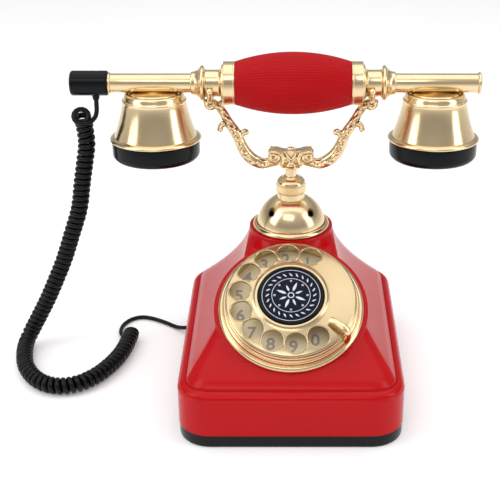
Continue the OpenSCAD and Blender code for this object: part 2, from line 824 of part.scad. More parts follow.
wheel_t = 1.3;
badge_seat = wheel_lift + 3;
module finger_wheel() {
    top = wheel_lift;
    lip = badge_r + 0.25;
    bore = stud_r + 0.1;
    color(gold) in_dial() difference() {
        rotate_extrude() polygon([
            [wheel_r, top], [wheel_r, top + 1], [wheel_r - 0.8, top + 1.6], [wheel_r - 7, top + 2.8],
            [badge_r + 8, top + 3.7], [badge_r + 2.8, top + 4.5], [badge_r + 2.2, top + 5.4],
            [lip + 0.5, top + 5.4], [lip, top + 4.8], [lip, badge_seat], [bore, badge_seat],
            [bore, badge_seat - wheel_t], [badge_r + 1.5, badge_seat - wheel_t], [badge_r + 2.6, top + 3],
            [badge_r + 8, top + 2.3], [wheel_r - 7, top + 1.5], [wheel_r - 1, top]]);
        for (k = [0:9]) rotate([0, 0, 90 - first_hole + k * hole_pitch]) translate([hole_circle_r, 0, 0])
            cylinder(r = hole_r, h = 30);
    }
}

module wheel_nut() {
    color(brass) in_dial() translate([0, 0, badge_seat]) difference() {
        cylinder(r = 2 * stud_r, h = 1.3, $fn = 6);
        translate([0, 0, -1]) cylinder(r = stud_r, h = 4);
    }
}

module badge_rim() {
    color(black) in_dial() {
        ring(badge_r, badge_r - 2, badge_seat, badge_seat + 3.2);
        ring(badge_r - 1.9, badge_r - 4, badge_seat, badge_seat + 1.5);
    }
}

module badge_disc() {
    color("#17233a") in_dial() translate([0, 0, badge_seat + 1.5]) cylinder(r = badge_r - 2, h = 1.1);
}

// The idler and the governor: shafts between the plates, each with its pinion
works_bottom = back_z + 0.6;
works_len = plate_z + 1.3 - works_bottom;
gear_bore = 0.8;
idler_wheel_z = -14;
module idler_gear() {
    color(brass) in_dial() translate([idler_xy[0], idler_xy[1], 0]) rotate([0, 0, idler_angle]) {
        translate([0, 0, works_bottom]) cylinder(r = idler_shaft_r, h = works_len);
        translate([0, 0, main_z - 0.5]) rotate([0, 0, 180 / pinion_teeth])
            gear(pinion_teeth, main_mod, main_t + 1, gear_bore);
        translate([0, 0, idler_wheel_z]) rotate([0, 0, governor_angle - idler_angle])
            gear(wheel_teeth, fine_mod, 1.2, gear_bore);
    }
}

module governor() {
    drum_z = -20;
    drum_r = 3;
    color(steel) in_dial() translate([governor_xy[0], governor_xy[1], 0]) rotate([0, 0, governor_angle]) {
        translate([0, 0, works_bottom]) cylinder(r = governor_shaft_r, h = works_len);
        translate([0, 0, idler_wheel_z - 0.6]) rotate([0, 0, 180 / pinion_teeth])
            gear(pinion_teeth, fine_mod, 2.4, gear_bore);
        translate([0, 0, drum_z]) cylinder(r = drum_r, h = 4);
        for (s = [-1, 1]) translate([s * 2.5 - 2, s - 2.5, drum_z + 0.5]) cube([4, 5, 3]);
    }
}

// ---- cradle ----

block_z = cradle_z + 1.6;
block_hw = 15.3;
cradle_foot_r = 7.6;
fork_y = waist_r + clear + prong_t / 2;
// Centreline of the right arm, from the block up to its fork: [x, z] from the cradle's foot
arm_route = [[12, 3], [20, 2.5], [27, 4.2], [33, 9.5], [36.2, 17], [39, 25.5], [43, 33],
    [47.5, 39.5], [fork_x - 1.5, handset_z - cradle_z - fork_y - prong_t / 2]];
module fork_profile() {
    bottom = [for (a = [180:15:360]) fork_y * [cos(a), sin(a)]];
    polygon(strip_outline(concat(bottom, [[fork_y, 2.5]]), prong_t / 2));
}

module cradle() {
    color(gold) in_neck() {
        translate([0, 0, cradle_z]) cylinder(r = cradle_foot_r, h = block_z - cradle_z + 0.1);
        translate([0, block_d / 2, 0]) rotate([90, 0, 0]) linear_extrude(block_d) polygon([
            [-10, block_z], [10, block_z], [block_hw, block_z + 3], [block_hw, block_z + 8],
            [11, block_z + 10.5], [5, block_z + 9.5], [2.5, block_z + 12], [-2.5, block_z + 12],
            [-5, block_z + 9.5], [-11, block_z + 10.5], [-block_hw, block_z + 8], [-block_hw, block_z + 3]]);
        for (s = [0, 1]) mirror([s, 0, 0]) {
            translate([0, block_d / 2 - 1, cradle_z]) rotate([90, 0, 0]) linear_extrude(block_d - 2)
                polygon(strip_outline(arm_route, arm_w / 2));
            translate([fork_x - prong_t / 2, 0, handset_z]) rotate([90, 0, 90])
                linear_extrude(prong_t) fork_profile();
        }
    }
}

// ---- handset ----

// Handset frame: x along the axis, z towards the cups' backs
module in_handset() {
    translate([handset_x, neck_y, handset_z]) rotate([-handset_turn, 0, 0]) children();
}
// Both ends: the left one is the mirror of the right
module both_ends() {
    for (s = [0, 1]) mirror([s, 0, 0]) children();
}

rod_r = 3;
grip_bore = 5.5;
// Radius of the arc that swells the grip at its middle
grip_swell = grip_mid_r - grip_end_r;
grip_arc = (grip_len * grip_len / 4 + grip_swell * grip_swell) / (2 * grip_swell);
module grip() {
    half = grip_len / 2;
    steps = 12;
    outer = [for (i = [0:steps]) let (x = mix(-half, half, i / steps))
        [grip_mid_r - grip_arc + sqrt(grip_arc * grip_arc - x * x), x]];
    color(red) in_handset() along_x() rotate_extrude()
        polygon(concat(outer, [[grip_bore, half], [grip_bore, -half]]));
}

ferrule_x = grip_len / 2;
collar_x = ferrule_x + ferrule_len;
module ferrules() {
    r = grip_end_r + 0.3;
    color(gold) in_handset() both_ends() along_x() rotate_extrude() polygon([
        [rod_r, ferrule_x], [r - 0.4, ferrule_x], [r, ferrule_x + 0.8], [r - 0.2, ferrule_x + 2],
        [r - 0.2, collar_x - 2], [r, collar_x - 0.8], [r - 0.5, collar_x], [rod_r, collar_x]]);
}

waist_half = prong_t / 2 + abs(handset_x) + 0.4;
bead_x = fork_x + waist_half + 2.6;
flare_end = bead_x + 7.7;
socket_x = bead_x + 2;
module collars() {
    color(gold) in_handset() both_ends() along_x() rotate_extrude() polygon([
        [rod_r, collar_x], [grip_end_r - 1.5, collar_x], [waist_r + 1.9, fork_x - waist_half - 2.1],
        [waist_r + 0.4, fork_x - waist_half - 0.8], [waist_r, fork_x - waist_half],
        [waist_r, fork_x + waist_half], [waist_r + 0.5, fork_x + waist_half + 0.9],
        [bead_r - 0.6, bead_x - 1.2], [bead_r, bead_x], [bead_r - 0.8, bead_x + 1.3],
        [waist_r, bead_x + 3], [tube_r + 1, flare_end - 2], [tube_r + 0.6, flare_end],
        [tube_r, flare_end], [tube_r, socket_x], [rod_r, socket_x]]);
}

rod_end = 3;
module tie_rod() {
    color(steel) in_handset() along_x() translate([0, 0, -socket_x - rod_end])
        cylinder(r = rod_r, h = 2 * (socket_x + rod_end));
}

module tubes() {
    color(gold) in_handset() {
        along_x() ring(tube_r, tube_r - tube_wall, socket_x, right_reach);
        mirror([1, 0, 0]) along_x() ring(tube_r, tube_r - tube_wall, socket_x, left_reach);
    }
}

right_flange = 2.3;
left_flange = 1.7;
// Stalk by which the end cap sits in the left tube
stalk_r = 4;
stalk_len = 8;
module end_flanges() {
    plug = 6;
    color(gold) in_handset() {
        along_x() translate([0, 0, right_reach]) cylinder(r = tube_r + 0.8, h = right_flange);
        along_x() translate([0, 0, right_reach - plug]) cylinder(r = tube_r - tube_wall, h = plug + eps);
        mirror([1, 0, 0]) along_x() ring(tube_r + 0.7, stalk_r, left_reach, cap_start);
    }
}

cap_start = left_reach + left_flange;
cord_exit_x = -133.5;
nipple_len = 3;
module cord_cap() {
    bevel = 1.2;
    color(black) in_handset() mirror([1, 0, 0]) along_x() rotate_extrude() polygon([
        [0, left_reach - stalk_len], [stalk_r, left_reach - stalk_len], [stalk_r, cap_start],
        [cord_cap_r - 0.4, cap_start],
        [cord_cap_r, cap_start + 0.6], [cord_cap_r, cap_start + cord_cap_len - bevel],
        [cord_cap_r - bevel, cap_start + cord_cap_len], [0, cap_start + cord_cap_len]]);
    color(black) in_handset() translate([cord_exit_x, 0, -cord_cap_r - nipple_len])
        cylinder(r1 = lead_d / 2 + 0.5, r2 = lead_d / 2 + 1.2, h = nipple_len + 2);
}

// Cup shapes are turned about an upright axis; heights are from the tube's axis
cup_top = -7;
step_z = -11.9;
shoulder_r = 20;
step_r = 22;
cup_wall = 1.3;
rim_t = 2.4;
cup_end = 1.2 - cup_depth;
saddle_r = 16;
module at_cup(s) {
    translate([s > 0 ? mouth_x : -ear_x, 0, 0]) children();
}
module cup_saddles() {
    color(gold) in_handset() for (s = [-1, 1]) at_cup(s) difference() {
        union() {
            translate([0, 0, cup_top]) cylinder(r = saddle_r, h = 1.2);
            translate([0, 0, cup_top]) cylinder(r = tube_r - 0.5, h = 3.5);
        }
        along_x() translate([0, 0, -20]) cylinder(r = tube_r, h = 40);
    }
}
flare_steps = 6;
flare = [for (i = [0:flare_steps]) let (t = i / flare_steps)
    [mix(step_r - 0.3, rim_r - 3, pow(t, 1.3)), mix(step_z - 0.8, cup_end, t)]];
cup_inside = [for (i = [flare_steps:-1:0]) flare[i] - [cup_wall, 0]];
module cup() {
    rotate_extrude() polygon(concat(
        [[0, cup_top], [shoulder_r - 1.5, cup_top], [shoulder_r, cup_top - 0.8], [step_r - 1, step_z + 1.4],
        [step_r, step_z + 0.9], [step_r, step_z]], flare, cup_inside,
        [[step_r - 2.2, step_z], [shoulder_r - 1.2, cup_top - 2], [0, cup_top - 2]]));
}
module ear_cup() {
    color(gold) in_handset() at_cup(-1) cup();
}
module mouth_cup() {
    color(gold) in_handset() at_cup(1) cup();
}
module cup_rims() {
    color(gold) in_handset() for (s = [-1, 1]) at_cup(s) rotate_extrude() polygon([
        [rim_r - 5.4, cup_end], [rim_r - 1.2, cup_end], [rim_r - 0.3, cup_end - 0.4], [rim_r, cup_end - 1.2],
        [rim_r - 0.3, cup_end - 2], [rim_r - 1.2, cup_end - rim_t], [rim_r - 5.4, cup_end - rim_t]]);
}
cap_r = rim_r - 1.5;
cap_top = cup_end - rim_t;
cap_bottom = cap_top - cap_depth;
cap_wall = 3;
cap_edge = 5;
capsule_r = cap_r - 4.6;
// One sound hole in the middle and two rings round it, the ring's number times six in each
module sound_holes() {
    hole = 1.1;
    pitch = 6;
    translate([0, 0, cap_bottom - 1]) cylinder(r = hole, h = 2 * cap_wall);
    for (n = [1, 2]) for (k = [0:6 * n - 1]) rotate([0, 0, 60 * k / n])
        translate([pitch * n, 0, cap_bottom - 1]) cylinder(r = hole, h = 2 * cap_wall);
}
module cap() {
    difference() {
        rotate_extrude() polygon(concat(
            [[0, cap_bottom + cap_wall], [capsule_r + clear, cap_bottom + cap_wall],
                [capsule_r + clear, cap_top], [cap_r - 0.4, cap_top], [cap_r, cap_top - 0.6],
                [cap_r, cap_bottom + cap_edge]],
            [for (a = [15:15:75]) [cap_r - cap_edge + cap_edge * cos(a), cap_bottom + cap_edge * (1 - sin(a))]],
            [[cap_r - cap_edge, cap_bottom], [0, cap_bottom + 0.6]]));
        sound_holes();
    }
}
module ear_cap() {
    color(black) in_handset() at_cup(-1) cap();
}
module mouth_cap() {
    color(black) in_handset() at_cup(1) cap();
}
module capsule() {
    z0 = cap_bottom + cap_wall + clear;
    can_h = 8;
    translate([0, 0, z0]) cylinder(r = capsule_r, h = can_h);
    translate([0, 0, z0 + can_h - 0.1]) cylinder(r = capsule_r - 6, h = 3);
}
module receiver_capsule() {
    color(steel) in_handset() at_cup(-1) capsule();
}
module mic_capsule() {
    color("#33373b") in_handset() at_cup(1) capsule();
}

// ---- cord ----

// Point of the handset frame in the telephone's frame
function handset_point(p) = [p[0] + handset_x,
    neck_y + p[1] * cos(handset_turn) + p[2] * sin(handset_turn),
    handset_z - p[1] * sin(handset_turn) + p[2] * cos(handset_turn)];
lead_start = handset_point([cord_exit_x, 0, -cord_cap_r - nipple_len]);
lead_next = handset_point([cord_exit_x, 0, -cord_cap_r - nipple_len - 3]);
// Lead from the cap down to the first turn of the curl
lead_top_points = [lead_start, lead_next, [-135, 33, 189], [-138.8, 33, 184], [-139.8, 33, 180],
    [-140, 33, 176]];
// Middle line of the curl: it hangs from the handset and lies on the table beside the base
curl_points = [[-140, 33, 176], [-141, 33, 165], [-143, 33, 153], [-146.5, 33, 135], [-150, 33, 116],
    [-156.5, 33, 97], [-164.5, 34, 75], [-172, 34, 58], [-180, 35, 41], [-189, 36, 24], [-196, 36, 11],
    [-198, 29, 6.5], [-196.5, 16, 6.5], [-192.5, 0, 6.5], [-185, -14, 6.5], [-175, -24, 6.5],
    [-163, -28, 6.5], [-150, -24.5, 6.5], [-139, -14, 6.5], [-130.5, 1, 6.5], [-125, 17, 6.5],
    [-122.5, 32, 6.5], [-121, 47, 6.5]];
// Lead along the table from the curl's end to the grommet
lead_floor_points = [[-121, 47, 6.5], [-120.6, 51, 6.4], [-121.6, 57, 4.6], [-125.5, 63, 2.2], [-127, 70, 1.8],
    [-124.5, 76, 1.8], [-117, 78, 1.8], [-108, 74.5, 1.8], [-98, 68.5, 1.8], [-90, 62, 1.8], [-85.5, 57.5, 2.8],
    [-80.5, 54.1, 5.5], [-base_w / 2 - 2.5, grommet_y, grommet_z]];

module cord_lead_top() {
    color(black) sweep(lead_top_points, lead_d / 2, 8);
}
module cord_curl() {
    color(black) sweep(curl_points, curl_d / 2, 10);
}
module cord_lead_floor() {
    color(black) sweep(lead_floor_points, lead_d / 2, 8);
}

base_pan();
rubber_pads();
pan_screws();
ballast_plate();
housing();
cord_grommet();
line_jack();
neck_ring();
dome();
neck_guide();
guide_locknut();
knurled_nut();
hook_bracket();
hook_contacts();
hook_lever();
hook_spring();
plunger();
cradle();
ringer_frame();
ringer_coil();
gong_left();
gong_right();
clapper();
circuit_board();
dial_bezel();
finger_stop();
number_plate();
dial_front_plate();
dial_back_plate();
mainspring();
pulse_contacts();
dial_shaft();
main_gear();
pulse_cam();
finger_wheel();
wheel_nut();
badge_rim();
badge_disc();
idler_gear();
governor();
grip();
ferrules();
collars();
tubes();
end_flanges();
tie_rod();
cord_cap();
cup_saddles();
ear_cup();
mouth_cup();
cup_rims();
ear_cap();
mouth_cap();
receiver_capsule();
mic_capsule();
cord_lead_top();
cord_curl();
cord_lead_floor();
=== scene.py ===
"""Looks of the desk telephone: finished pieces over the CAD frame, materials, camera and light."""

import bpy
import bmesh
import math
from mathutils import Matrix, Vector


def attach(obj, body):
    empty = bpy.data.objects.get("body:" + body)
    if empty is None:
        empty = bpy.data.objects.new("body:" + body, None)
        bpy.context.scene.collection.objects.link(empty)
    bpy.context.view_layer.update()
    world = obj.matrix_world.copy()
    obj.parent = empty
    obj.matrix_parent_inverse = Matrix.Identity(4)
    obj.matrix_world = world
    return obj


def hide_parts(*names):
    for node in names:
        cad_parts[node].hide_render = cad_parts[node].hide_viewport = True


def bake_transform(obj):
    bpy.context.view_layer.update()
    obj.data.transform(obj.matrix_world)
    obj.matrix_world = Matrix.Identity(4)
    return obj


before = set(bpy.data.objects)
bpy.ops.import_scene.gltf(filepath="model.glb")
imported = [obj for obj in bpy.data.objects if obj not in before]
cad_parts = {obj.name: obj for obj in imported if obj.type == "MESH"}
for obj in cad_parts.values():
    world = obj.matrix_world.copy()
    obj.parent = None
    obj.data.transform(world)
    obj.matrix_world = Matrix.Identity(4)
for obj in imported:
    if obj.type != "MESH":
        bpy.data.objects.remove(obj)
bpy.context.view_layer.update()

MM = 0.001

# ---- sizes in millimetres, the same as the CAD's ----

BASE_W, BASE_D, CORNER_R = 150, 184, 22
PAN_H, PAN_INSET, PAN_WALL = 9.5, 0.5, 3
PAD_R, PAD_T = 7, 1.5
SKIRT_TOP, FOOT_Z, SHOULDER_W, SHELL_WALL = 36.3, 44.4, 8, 2.8
NECK_TOP, NECK_R, NECK_Y, SIDE_CURVE = 103.4, 29.4, 34, 1.5
SLOPE, DIAL_Y, DIAL_Z, FACE_WALL = 31, -35, 73.5, 3
BEZEL_R, OPENING_R, PAD_RING_R = 49, 46, 52
WHEEL_R, WHEEL_LIFT, HOLE_R, HOLE_CIRCLE_R = 43.6, 11.8, 7.1, 34.3
HOLE_PITCH, FIRST_HOLE, STOP_ANGLE, BADGE_R = 26, 22.5, 126, 21.7
RING_R, DOME_R, DOME_Z, NUT_R, NUT_Z, STEM_R = 27.1, 24.5, 102.8, 10.4, 129.2, 4
CRADLE_Z, FORK_X, PRONG_T, WAIST_R = 148, 54.4, 4.6, 9
HANDSET_X, HANDSET_Z, HANDSET_TURN = 1.5, 208.4, 4.3
GRIP_LEN, GRIP_MID_R, GRIP_END_R, FERRULE_LEN = 78.4, 20.9, 14.5, 7.7
BEAD_R, TUBE_R, RIGHT_REACH, LEFT_REACH = 12.1, 6.5, 124.2, 122.9
CORD_CAP_LEN, CORD_CAP_R, CORD_EXIT_X, NIPPLE_LEN = 25.5, 8.4, -133.5, 3
EAR_X, MOUTH_X, RIM_R, CUP_DEPTH, CAP_DEPTH = 94.2, 96, 31.4, 38, 13.5
CURL_D, WIRE_D, LEAD_D = 12.6, 4.15, 3.2
GROMMET_Y, GROMMET_Z = 54, 5.6

# Places of the pieces' own frames
AT_BASE = Matrix.Identity(4)
AT_NECK = Matrix.Translation((0, NECK_Y, 0))
AT_DIAL = Matrix.Translation((0, DIAL_Y, DIAL_Z)) @ Matrix.Rotation(math.radians(SLOPE), 4, "X")
AT_HANDSET = (Matrix.Translation((HANDSET_X, NECK_Y, HANDSET_Z))
              @ Matrix.Rotation(math.radians(-HANDSET_TURN), 4, "X"))
ALONG_X = Matrix.Rotation(math.radians(90), 4, "Y")
FLIP_X = Matrix.Rotation(math.radians(180), 4, "Z")


# ---- camera ----

CAMERA_PLACE = (0, -0.716, 0.4602)
CAMERA_PITCH = 26.73
CAMERA_LENS = 83.7
CAMERA_SHIFT = -0.082


def make_camera():
    data = bpy.data.cameras.new("camera")
    camera = bpy.data.objects.new("camera", data)
    bpy.context.collection.objects.link(camera)
    camera.location = CAMERA_PLACE
    camera.rotation_euler = (math.radians(90 - CAMERA_PITCH), 0, 0)
    data.lens = CAMERA_LENS
    data.shift_x = CAMERA_SHIFT
    data.clip_start = 0.01
    bpy.context.scene.camera = camera
    bpy.context.scene.view_settings.view_transform = "Standard"


make_camera()


# ---- materials ----

def linear(code):
    """Linear colour of an sRGB hex code such as c8161d."""
    parts = [int(code[i:i + 2], 16) / 255 for i in (0, 2, 4)]
    return [p / 12.92 if p <= 0.04045 else ((p + 0.055) / 1.055) ** 2.4 for p in parts] + [1]


def per_metre(size):
    """Texture scale whose marks are about that many millimetres across."""
    return 1 / (size * MM)


def new_material(name):
    """Material with no nodes yet."""
    material = bpy.data.materials.new(name)
    material.use_nodes = True
    material.node_tree.nodes.clear()
    return material


def add_node(material, kind, inputs, **settings):
    """A shader node; inputs gives each socket a value or the output it is linked to."""
    tree = material.node_tree
    node = tree.nodes.new("ShaderNode" + kind)
    for name, value in settings.items():
        setattr(node, name, value)
    for socket, value in inputs.items():
        if isinstance(value, bpy.types.NodeSocket):
            tree.links.new(value, node.inputs[socket])
        else:
            node.inputs[socket].default_value = value
    return node


def noise(material, vector, size, detail):
    """Noise whose marks are about that many millimetres across."""
    return add_node(material, "TexNoise", {"Vector": vector, "Scale": per_metre(size),
                                           "Detail": detail}).outputs["Fac"]


def tinted(material, share, pale, deep):
    """Colour from pale to deep, by a share that varies over the surface."""
    return add_node(material, "Mix", {0: share, 6: linear(pale), 7: linear(deep)},
                    data_type="RGBA").outputs[2]


def spread(material, value, low, high, start=0.3, end=0.7):
    """A value that runs from start to end, spread from low to high."""
    return add_node(material, "MapRange", {"Value": value, "From Min": start, "From Max": end,
                                           "To Min": low, "To Max": high}).outputs[0]


def relief(material, height, strength, depth, under=None):
    """Normal of a bump that many millimetres deep, over another one if there is one under it."""
    inputs = {"Height": height, "Strength": strength, "Distance": depth * MM}
    if under is not None:
        inputs["Normal"] = under
    return add_node(material, "Bump", inputs).outputs[0]


def surfaced(material, inputs):
    """The material with its shader and output in place."""
    shader = add_node(material, "BsdfPrincipled", inputs)
    add_node(material, "OutputMaterial", {"Surface": shader.outputs[0]})
    return material


def gold_plate(name, pale, deep, roughness, grain):
    """Gold flash over buffed brass: a warm mirror, a little uneven in colour, with faint buffing lines
    along X and a slow ripple that bends the highlights. The lines are really 0.05 mm wide, and are
    drawn 1 mm wide so that they show."""
    gold = new_material(name)
    place = add_node(gold, "TexCoord", {}).outputs["Object"]
    tint = tinted(gold, noise(gold, place, 30, 2.0), pale, deep)
    along = add_node(gold, "Mapping", {"Vector": place, "Scale": (0.2, 1, 1)}).outputs[0]
    buffing = noise(gold, along, 1, 2.0)
    gloss = spread(gold, buffing, roughness * 0.92, roughness * 1.12)
    slow = relief(gold, noise(gold, place, 40, 1.0), 0.3, 0.2)
    fine = relief(gold, buffing, 0.3, grain, slow)
    return surfaced(gold, {"Base Color": tint, "Metallic": 1.0, "Roughness": gloss, "Normal": fine})


def cast_gold_plate():
    """Gold plate on sand-cast brass, with painted shade: the hollows are tinted brown and the raised parts
    pale, standing in for the darkening between the gold surfaces, over soft chased leaves 3 mm apart and a
    skin with 0.8 mm pits."""
    gold = new_material("cast_gold_plate")
    place = add_node(gold, "TexCoord", {}).outputs["Object"]
    leaves = add_node(gold, "TexVoronoi", {"Vector": place, "Scale": per_metre(3)},
                      feature="SMOOTH_F1").outputs["Distance"]
    skin = noise(gold, place, 0.8, 4.0)
    # Painted shade: hollows found by pointiness get the brown, raised parts the pale gold
    hollow = add_node(gold, "NewGeometry", {}).outputs["Pointiness"]
    tint = tinted(gold, spread(gold, hollow, 0, 1, 0.44, 0.52), "ae8350", "ecd6ac")
    gloss = spread(gold, skin, 0.12, 0.24)
    pits = relief(gold, skin, 0.35, 0.12, relief(gold, leaves, 0.5, 0.5))
    return surfaced(gold, {"Base Color": tint, "Metallic": 1.0, "Roughness": gloss, "Normal": pits})


def moulded_plastic(name, pale, deep, roughness, coat, ior=1.54, peel=0.03, specular=0.3):
    """Moulded plastic: an even colour that shifts a little over 60 mm where the melt flowed, a slight
    orange peel 4 mm across that wavers the highlights, and handling marks 1.5 mm across in the gloss."""
    plastic = new_material(name)
    place = add_node(plastic, "TexCoord", {}).outputs["Object"]
    tint = tinted(plastic, noise(plastic, place, 60, 2.0), pale, deep)
    gloss = spread(plastic, noise(plastic, place, 1.5, 4.0), roughness * 0.85, roughness * 1.2)
    orange_peel = relief(plastic, noise(plastic, place, 4, 1.0), 0.3, peel)
    return surfaced(plastic, {"Base Color": tint, "Roughness": gloss, "IOR": ior,
                              "Specular IOR Level": specular, "Coat Weight": coat,
                              "Coat Roughness": 0.05, "Normal": orange_peel})


def dull_surface(name, pale, deep, roughness, grit, depth, ior=1.5):
    """Matt rubber, ink, lacquer or board: no clear reflection, a colour that varies over 15 mm and a
    skin with grit of the given size in millimetres."""
    dull = new_material(name)
    place = add_node(dull, "TexCoord", {}).outputs["Object"]
    tint = tinted(dull, noise(dull, place, 15, 2.0), pale, deep)
    grain = noise(dull, place, grit, 3.0)
    gloss = spread(dull, grain, roughness * 0.85, min(1, roughness * 1.15))
    return surfaced(dull, {"Base Color": tint, "Roughness": gloss, "IOR": ior,
                           "Normal": relief(dull, grain, 0.5, depth)})


def worked_metal(name, pale, deep, roughness, line, stretch=(1, 1, 0.1)):
    """Bare or plated working metal: its turning, rolling or pressing leaves lines of the given width in
    millimetres, which spread the reflections one way."""
    metal = new_material(name)
    place = add_node(metal, "TexCoord", {}).outputs["Object"]
    along = add_node(metal, "Mapping", {"Vector": place, "Scale": stretch}).outputs[0]
    lines = noise(metal, along, line, 3.0)
    gloss = spread(metal, lines, roughness * 0.8, roughness * 1.3)
    return surfaced(metal, {"Base Color": tinted(metal, lines, pale, deep), "Metallic": 1.0,
                            "Roughness": gloss, "Normal": relief(metal, lines, 0.3, 0.05)})


# Polished plate of the turned parts: pale champagne gold with clear reflections
GOLD = gold_plate("polished_gold_plate", "ecd6b0", "e0c598", 0.19, 0.006)
# Satin plate of the finger wheel: pressed brass, finely brushed, so its highlights are broad
WHEEL_GOLD = gold_plate("satin_gold_plate", "d4c09c", "c2aa80", 0.22, 0.002)
CAST_GOLD = cast_gold_plate()
# Stove enamel in champagne under the wheel: smooth and half matt
PLATE_ENAMEL = dull_surface("champagne_stove_enamel", "f2e4c0", "ead8ae", 0.35, 2.5, 0.02)
# High-gloss ABS housing, deep red
RED_ABS = moulded_plastic("gloss_red_abs", "bd0d14", "b40b11", 0.19, 0.05, specular=0.11)
# Cast resin grip, darker red, gloss broken by its flutes
GRIP_RESIN = moulded_plastic("red_cast_resin", "b60c13", "a60910", 0.34, 0.03, specular=0.08)
# Gloss ABS pan and the harder, glossier phenolic caps
BLACK_ABS = moulded_plastic("gloss_black_abs", "121114", "0e0d10", 0.25, 0.05, specular=0.15)
CAP_PHENOLIC = moulded_plastic("black_moulded_phenolic", "0a0d10", "080a0c", 0.22, 0.05, 1.6, specular=0.1)
# Vitreous enamel of the badge: blue-black glass with a wet gloss
BLUE_ENAMEL = moulded_plastic("blue_black_vitreous_enamel", "081128", "070e20", 0.3, 0.04, 1.5, specular=0.1)
# Hot-stamped silver foil of the badge's design
SILVER_FOIL = worked_metal("hot_stamped_silver_foil", "d4d6da", "bcbfc6", 0.35, 0.8)
# Screen-printed grey figures
FIGURE_INK = dull_surface("grey_printing_ink", "aea89f", "a09a91", 0.5, 1, 0.02)
# Nitrile rubber feet and strain relief
RUBBER = dull_surface("black_nitrile_rubber", "1d1d1f", "161617", 0.75, 1.5, 0.08, 1.52)
# PVC sheath of the cord: extruded, black, with an oily gloss
CORD_PVC = moulded_plastic("black_pvc_sheath", "0c0d10", "090a0c", 0.3, 0.06, 1.54, 0.02, 0.15)
# Zinc-plated mild steel: bluish grey, bright
STEEL = worked_metal("zinc_plated_steel", "b9bcc2", "979aa1", 0.3, 1)
# Pressed aluminium, rolled along X
ALUMINIUM = worked_metal("rolled_aluminium", "c9cbce", "acaeb3", 0.38, 1, (0.1, 1, 1))
# Free-turning brass, left bare
BRASS = worked_metal("turned_brass", "d8b56a", "b8934a", 0.22, 0.8)
# Enamelled copper wire under varnish, its turns 0.8 mm apart here so that they show
COPPER_COIL = worked_metal("varnished_copper_winding", "a5552c", "7c3414", 0.35, 0.8, (1, 1, 1))
# Green solder lacquer on an epoxy board
BOARD_LACQUER = dull_surface("green_solder_lacquer", "2c6a3c", "235530", 0.35, 2, 0.03, 1.55)
# Paper-filled phenolic of the contact stacks
PAPER_PHENOLIC = dull_surface("brown_paper_phenolic", "8a6238", "6f4a28", 0.5, 1.2, 0.05, 1.6)
# Ivory ABS jack
IVORY_ABS = moulded_plastic("ivory_moulded_abs", "e8e2d2", "ddd5c1", 0.35, 0.1)


# ---- making pieces ----

def wire(bm, points, closed=False):
    """A line of edges through a few points."""
    verts = [bm.verts.new(p) for p in points]
    edges = [bm.edges.new(pair) for pair in zip(verts, verts[1:])]
    if closed:
        edges.append(bm.edges.new((verts[-1], verts[0])))
    return verts, edges


def new_of(made, kind):
    """Elements of one kind that an operator has made."""
    return [item for item in made["geom"] if isinstance(item, kind)]


def round_corners(bm, corners, radius, steps):
    """An arc at each corner of a wire, no longer than its edges have room for."""
    reaches = [min([radius] + [0.45 * e.calc_length() for e in v.link_edges]) for v in corners]
    for vert, reach in zip(corners, reaches):
        bmesh.ops.bevel(bm, geom=[vert], offset=reach, offset_type="OFFSET", segments=steps, profile=0.5,
                        affect="VERTICES", clamp_overlap=False, material=-1)


def bends(vert, least=8):
    """Whether the wire turns by more than that many degrees at the vertex."""
    a, b = [edge.other_vert(vert).co - vert.co for edge in vert.link_edges]
    return math.degrees(a.angle(-b, 0)) > least


def closed_up(bm, gap=1e-4):
    """bm with its seams and poles closed and its faces outward."""
    bmesh.ops.remove_doubles(bm, verts=bm.verts, dist=gap)
    bmesh.ops.recalc_face_normals(bm, faces=bm.faces)
    return bm


def turned(profile, segments=128, radius=0.25, closed=True):
    """Turned solid: its profile of (radius, height) with rounded corners, spun once round Z.
    An open profile starts and ends on the axis."""
    bm = bmesh.new()
    verts, edges = wire(bm, [(r, 0, z) for r, z in profile], closed)
    if radius:
        inner = verts if closed else verts[1:-1]
        round_corners(bm, [v for v in inner if v.co.x > 1e-6 and bends(v)], radius, 3)
    bmesh.ops.spin(bm, geom=bm.verts[:] + bm.edges[:], axis=(0, 0, 1), cent=(0, 0, 0), angle=2 * math.pi,
                   steps=segments, use_merge=True)
    return closed_up(bm)


def bar(radius, z0, z1, segments=48):
    """Plain round bar, for cutting holes."""
    return turned([(0, z0), (radius, z0), (radius, z1), (0, z1)], segments, 0, False)


def fluted(bm, flutes, columns, depth, least_r, top=1e9):
    """Grooves along Z in a turned solid with flutes * columns segments: columns of its skin are drawn
    toward the axis by a share of up to depth."""
    skin = {}
    for vert in bm.verts:
        if vert.co.xy.length > least_r and vert.co.z < top:
            turn = math.atan2(vert.co.y, vert.co.x) / (2 * math.pi)
            skin.setdefault(round(turn * flutes * columns) % columns, []).append(vert)
    for column, verts in skin.items():
        share = 1 - depth * (0.5 - 0.5 * math.cos(2 * math.pi * column / columns))
        bmesh.ops.scale(bm, vec=(share, share, 1), verts=verts)
    return bm


def frames_along(points, radii, squeeze=(1, 1), up=Vector((0, 1, 0.1))):
    """Place, direction and size of a section at each point of a line, with no needless twist."""
    side = up
    frames = []
    for i, p in enumerate(points):
        ahead = (points[min(i + 1, len(points) - 1)] - points[max(i - 1, 0)]).normalized()
        side = (side - ahead * side.dot(ahead)).normalized()
        other = ahead.cross(side)
        axes = (side * radii[i] * squeeze[0], other * radii[i] * squeeze[1], ahead)
        frames.append(Matrix.Translation(p) @ Matrix(axes).transposed().to_4x4())
    return frames


